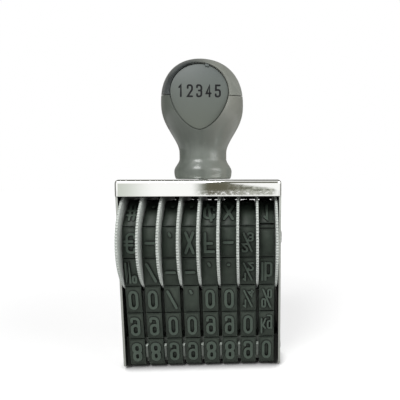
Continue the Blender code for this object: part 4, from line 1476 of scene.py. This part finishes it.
def build_web_back():
    """A dark bent sheet behind the bridge's web, from cheek to cheek, clear of the discs: painted
    shade where the gaps would show light.
    """
    web_top = AXLE_HEIGHT - DISC_RADIUS - WEB_GAP
    face, back = BRIDGE_WEB / 2 + WELD, BRIDGE_WEB / 2 + BACK_SHEET
    shelf, lip = web_top - BACK_DROP, web_top + BACK_LIP
    outline = [
        (face, BACK_FOOT), (back, BACK_FOOT), (back, shelf - BACK_SHEET),
        (BACK_REACH, shelf - BACK_SHEET), (BACK_REACH, lip), (BACK_REACH - BACK_SHEET, lip),
        (BACK_REACH - BACK_SHEET, shelf), (face, shelf),
    ]
    half = CHEEK_INSIDE - SEAT_GAP
    piece = link_piece("web_back", slab(outline, -half, half, lambda y, z, x: (x, y, z)))
    coat(piece, inside_shade_steel)
    set_on(piece, "stamp_frame", "bright_steel")


def recoat_solids():
    """Better finishes on the three solids that keep their shape."""
    for name, material in (
        ("bridge", bridge_steel), ("axle_washer", rivet_steel), ("handle_stud", rivet_steel),
    ):
        coat(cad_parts[name], material)


# Studio


def floor_finish():
    """Floor that shows white with the stamp's soft shadow and lights it as pale board; its glow
    dims near and under the stamp as a painted shadow, and reflections see it darker near the stamp
    as a painted reflection.
    """
    material, tree, shader = new_finish(
        "floor_white", Roughness=0.95, Specular_IOR_Level=0.0, Emission_Strength=1.0
    )
    path = add_node(tree, "ShaderNodeLightPath")
    glossy = path.outputs["Is Glossy Ray"]
    seen = combined(tree, "MAXIMUM", path.outputs["Is Camera Ray"],
                    path.outputs["Is Transmission Ray"])
    colour = blend_colour(tree, (0.8, 0.8, 0.8, 1), (0.45, 0.45, 0.45, 1), seen)
    # Painted reflection: reflections see a darker floor
    colour = blend_colour(tree, colour, (0.2, 0.2, 0.2, 1), glossy)
    tree.links.new(colour, shader.inputs["Base Color"])
    away = add_node(tree, "ShaderNodeVectorMath", {0: object_place(tree)}, operation="LENGTH")
    # Painted shadow: the glow dims near the stamp and falls to black under it
    far = ramp(tree, away.outputs["Value"], 0.10, 0.45)
    pale = blend_colour(tree, (0.62, 0.62, 0.62, 1), (0.92, 0.92, 0.92, 1), far)
    under = add_node(tree, "ShaderNodeAmbientOcclusion", {"Distance": 0.007}, samples=12)
    pale = blend_colour(tree, (0, 0, 0, 1), pale, ramp(tree, under.outputs["AO"], 0.25, 0.85))
    # Painted reflection: darker near the stamp as reflections see it
    mirrored = blend_colour(tree, (0.16, 0.16, 0.15, 1), (0.80, 0.80, 0.80, 1),
                            ramp(tree, away.outputs["Value"], 0.02, 0.55))
    glow = blend_colour(tree, (0, 0, 0, 1), pale, seen)
    glow = blend_colour(tree, glow, mirrored, glossy)
    tree.links.new(glow, shader.inputs["Emission Color"])
    return material


def add_card(name, corners, material):
    """A card of the studio that only reflections see."""
    card = link_piece(name, mesh_from(name, corners, [(0, 1, 2, 3)]))
    coat(card, material)
    return card


def card_finish(name, colour):
    """Card that glows for reflections alone and lets all other rays through: a painted reflection.
    """
    material = bpy.data.materials.new(name)
    material.use_nodes = True
    tree = material.node_tree
    tree.nodes.clear()
    path = add_node(tree, "ShaderNodeLightPath")
    clear = add_node(tree, "ShaderNodeBsdfTransparent")
    shade = add_node(tree, "ShaderNodeEmission", {"Color": colour})
    mix = add_node(tree, "ShaderNodeMixShader")
    tree.links.new(path.outputs["Is Glossy Ray"], mix.inputs[0])
    tree.links.new(clear.outputs[0], mix.inputs[1])
    tree.links.new(shade.outputs[0], mix.inputs[2])
    add_node(tree, "ShaderNodeOutputMaterial", {"Surface": mix.outputs[0]})
    return material, tree, shade


def mirrored_card_finish():
    """What the front of the chromed skirt mirrors, a painted reflection: pale, with a ragged olive
    patch on it and greyer at its left end.
    """
    material, tree, shade = card_finish("mirrored_card", (1, 1, 1, 1))
    place = object_place(tree)
    rough = noise(tree, place, 130.0, 4.0, Roughness=0.65)["Color"]
    push = add_node(tree, "ShaderNodeVectorMath", {
        0: rough, 1: (0.012, 0.0, 0.007),
    }, operation="MULTIPLY")
    middle = add_node(tree, "ShaderNodeVectorMath", {
        0: push.outputs["Vector"], 1: (-0.006, 0.0, -0.0035),
    }, operation="ADD")
    moved = add_node(tree, "ShaderNodeVectorMath", {
        0: middle.outputs["Vector"], 1: place,
    }, operation="ADD")
    split = add_node(tree, "ShaderNodeSeparateXYZ", {"Vector": moved.outputs["Vector"]})
    across, up = split.outputs["X"], split.outputs["Z"]
    left, right = ramp(tree, across, -0.074, -0.048), ramp(tree, across, 0.066, 0.058)
    height = combined(tree, "ADD", up, combined(tree, "MULTIPLY", across, 0.2))
    top = ramp(tree, height, 0.084, 0.079)
    tall = combined(tree, "MULTIPLY", ramp(tree, across, -0.064, -0.050),
                    ramp(tree, across, -0.002, -0.012))
    top = combined(tree, "MAXIMUM", top, tall)
    body = combined(tree, "MULTIPLY", left, right, top, ramp(tree, up, 0.0635, 0.0655))
    flecks = noise(tree, place, 190.0, 2.0)["Fac"]
    ragged = combined(
        tree, "MULTIPLY", ramp(tree, flecks, 0.42, 0.47), left, right,
        ramp(tree, up, 0.0530, 0.0560), ramp(tree, up, 0.0655, 0.0635),
    )
    share = combined(tree, "MAXIMUM", body, ragged)
    olive = blend_colour(tree, (0.115, 0.110, 0.078, 1), (0.17, 0.175, 0.14, 1),
                         ramp(tree, across, -0.015, 0.045))
    mottle = combined(tree, "MULTIPLY", ramp(tree, flecks, 0.42, 0.62),
                      ramp(tree, across, -0.030, 0.030))
    tone = blend_colour(tree, olive, (0.50, 0.51, 0.46, 1), mottle)
    tone = blend_colour(tree, (0.22, 0.25, 0.20, 1), tone, ramp(tree, across, -0.070, -0.042))
    back = blend_colour(tree, (0.62, 0.65, 0.60, 1), (1, 1, 1, 1),
                        ramp(tree, across, -0.19, -0.125))
    colour = blend_colour(tree, back, tone, share)
    tree.links.new(colour, shade.inputs["Color"])
    return material


def front_card(name, foot, top, material):
    """A card before the stamp; its foot and its top are given as left, right and height."""
    (left, right, low), (top_left, top_right, high) = foot, top
    add_card(name, [(left, FRONT_CARD, low), (right, FRONT_CARD, low),
                    (top_right, FRONT_CARD, high), (top_left, FRONT_CARD, high)], material)


def side_card(name, side, material):
    """An upright card at the left or right of the stamp."""
    add_card(name, [(side, SIDE_CARD_FRONT, CARD_FOOT), (side, REAR_CARD, CARD_FOOT),
                    (side, REAR_CARD, TOP_CARD), (side, SIDE_CARD_FRONT, TOP_CARD)], material)


def build_floor():
    """The wide floor the stamp stands on."""
    corners = [(-FLOOR_HALF, -FLOOR_HALF, 0), (FLOOR_HALF, -FLOOR_HALF, 0),
               (FLOOR_HALF, FLOOR_HALF, 0), (-FLOOR_HALF, FLOOR_HALF, 0)]
    floor = link_piece("studio_floor", mesh_from("floor", corners, [(0, 1, 2, 3)]))
    coat(floor, floor_finish())


def build_surroundings():
    """White all round where it is seen, and dimmer where it lights the stamp."""
    world = bpy.data.worlds.new("studio")
    bpy.context.scene.world = world
    world.use_nodes = True
    tree = world.node_tree
    tree.nodes.clear()
    path = add_node(tree, "ShaderNodeLightPath")
    seen = combined(tree, "MAXIMUM", path.outputs["Is Camera Ray"], path.outputs["Is Glossy Ray"],
                    path.outputs["Is Transmission Ray"])
    level = add_node(tree, "ShaderNodeMapRange", {"Value": seen, "To Min": 0.28, "To Max": 1.0})
    light = add_node(tree, "ShaderNodeBackground", {
        "Color": (1, 1, 1, 1), "Strength": level.outputs["Result"],
    })
    add_node(tree, "ShaderNodeOutputWorld", {"Surface": light.outputs["Background"]})


def add_lamp(name, place, power, size):
    """A square lamp turned to the middle of the stamp."""
    lamp = bpy.data.lights.new(name, "AREA")
    lamp.energy = power
    lamp.size = size
    stand = link_piece(name, lamp)
    stand.location = place
    aim = Vector(LAMP_AIM) - Vector(place)
    stand.rotation_euler = aim.to_track_quat("-Z", "Y").to_euler()


def build_studio():
    """Floor, white surroundings, two lamps and the cards the stamp mirrors."""
    build_floor()
    build_surroundings()
    add_lamp("key", (-0.22, -0.50, 0.66), 4.8, 0.30)
    add_lamp("fill", (0.60, -0.35, 0.35), 3.4, 0.45)
    dark = card_finish("dark_card", (0.10, 0.10, 0.09, 1))[0]
    grey = card_finish("grey_card", (0.30, 0.30, 0.28, 1))[0]
    add_card("rear_card", [
        (-CARD_HALF, REAR_CARD, CARD_FOOT), (CARD_HALF, REAR_CARD, CARD_FOOT),
        (CARD_HALF, REAR_CARD, TOP_CARD), (-CARD_HALF, REAR_CARD, TOP_CARD),
    ], grey)
    add_card("top_card", [
        (-CARD_HALF, TOP_CARD_FRONT, TOP_CARD), (CARD_HALF, TOP_CARD_FRONT, TOP_CARD),
        (CARD_HALF, REAR_CARD, TOP_CARD), (-CARD_HALF, REAR_CARD, TOP_CARD),
    ], dark)
    side_card("left_card", -SIDE_CARD, dark)
    side_card("right_card", SIDE_CARD, grey)
    front_card("mirrored_card", (-0.2, 0.09, 0.045), (-0.2, 0.09, 0.09), mirrored_card_finish())
    olive = card_finish("olive_card", (0.14, 0.14, 0.11, 1))[0]
    front_card("left_upper_card", (-0.048, -0.010, 0.09), (-0.050, -0.010, 0.17), olive)
    front_card("upper_card", (-0.050, 0.064, 0.17), (-0.060, 0.14, 0.8), olive)


def build_camera():
    """The photograph's view: a near, slightly high camera that looks past the stamp."""
    yaw, pitch, roll = CAMERA_TURN
    ahead = Vector((sin(yaw) * cos(pitch), cos(yaw) * cos(pitch), -sin(pitch)))
    right = Vector((cos(yaw), -sin(yaw), 0))
    down = ahead.cross(right)
    level = cos(roll) * right + sin(roll) * down
    drop = cos(roll) * down - sin(roll) * right
    data = bpy.data.cameras.new("camera")
    data.sensor_width = CAMERA_LENS
    data.lens = CAMERA_LENS
    data.shift_x, data.shift_y = CAMERA_SHIFT
    data.clip_start = CAMERA_NEAR
    camera = link_piece("camera", data)
    turn = Matrix((level, -drop, -ahead)).transposed().to_4x4()
    camera.matrix_world = Matrix.Translation(CAMERA_PLACE) @ turn
    bpy.context.scene.camera = camera


# The build

workshop = bpy.data.collections.new("workshop")
edge_wear = edge_wear_and_highlight_group()
surface_grain = surface_grain_group()
tone_shift = tone_shift_group()
crevice = crevice_group()
copies_at_places = copies_at_places_group()
ring_of_copies = ring_of_copies_group()

# Each rubber: two cloud tones, a paler edge colour from wear and painted highlight, and a
# near-black painted shade colour
band_rubber = rubber_finish(
    "band_rubber_dark", (0.033, 0.043, 0.034, 1), (0.045, 0.057, 0.045, 1),
    (0.105, 0.125, 0.108, 1), (0.006, 0.008, 0.006, 1),
)
# The type is a lighter copy of the band rubber: a painted highlight on its raised faces
type_rubber = rubber_finish(
    "type_rubber_worn", (0.057, 0.076, 0.061, 1), (0.070, 0.091, 0.073, 1),
    (0.15, 0.175, 0.155, 1), (0.010, 0.013, 0.010, 1),
)
disc_plastic = disc_finish()
chrome = chrome_finish()
rivet_steel = steel_finish(
    "rivet_bright_steel", (0.55, 0.56, 0.54, 1), (0.72, 0.73, 0.70, 1), 0.22
)
bridge_steel = bridge_finish()
# Near-black inside of the sheet: painted shade under the tray and behind the bridge's web
inside_shade_steel = steel_finish(
    "sheet_inside_dull", (0.06, 0.065, 0.06, 1), (0.30, 0.31, 0.29, 1), 0.45
)
edge_steel = steel_finish(
    "sheet_cut_edge", (0.56, 0.58, 0.54, 1), (0.70, 0.72, 0.68, 1), 0.42
)
handle_plastic = handle_finish()
crown_smoke = crown_finish()
label_grey = label_finish()
label_ink = ink_finish()

build_camera()
build_studio()
build_bands()
build_wheels()
build_frame()
build_rivets()
build_axle()
build_bulb()
build_crown()
build_label()
build_label_print()
build_web_back()
recoat_solids()
bpy.context.scene.view_settings.view_transform = "Standard"
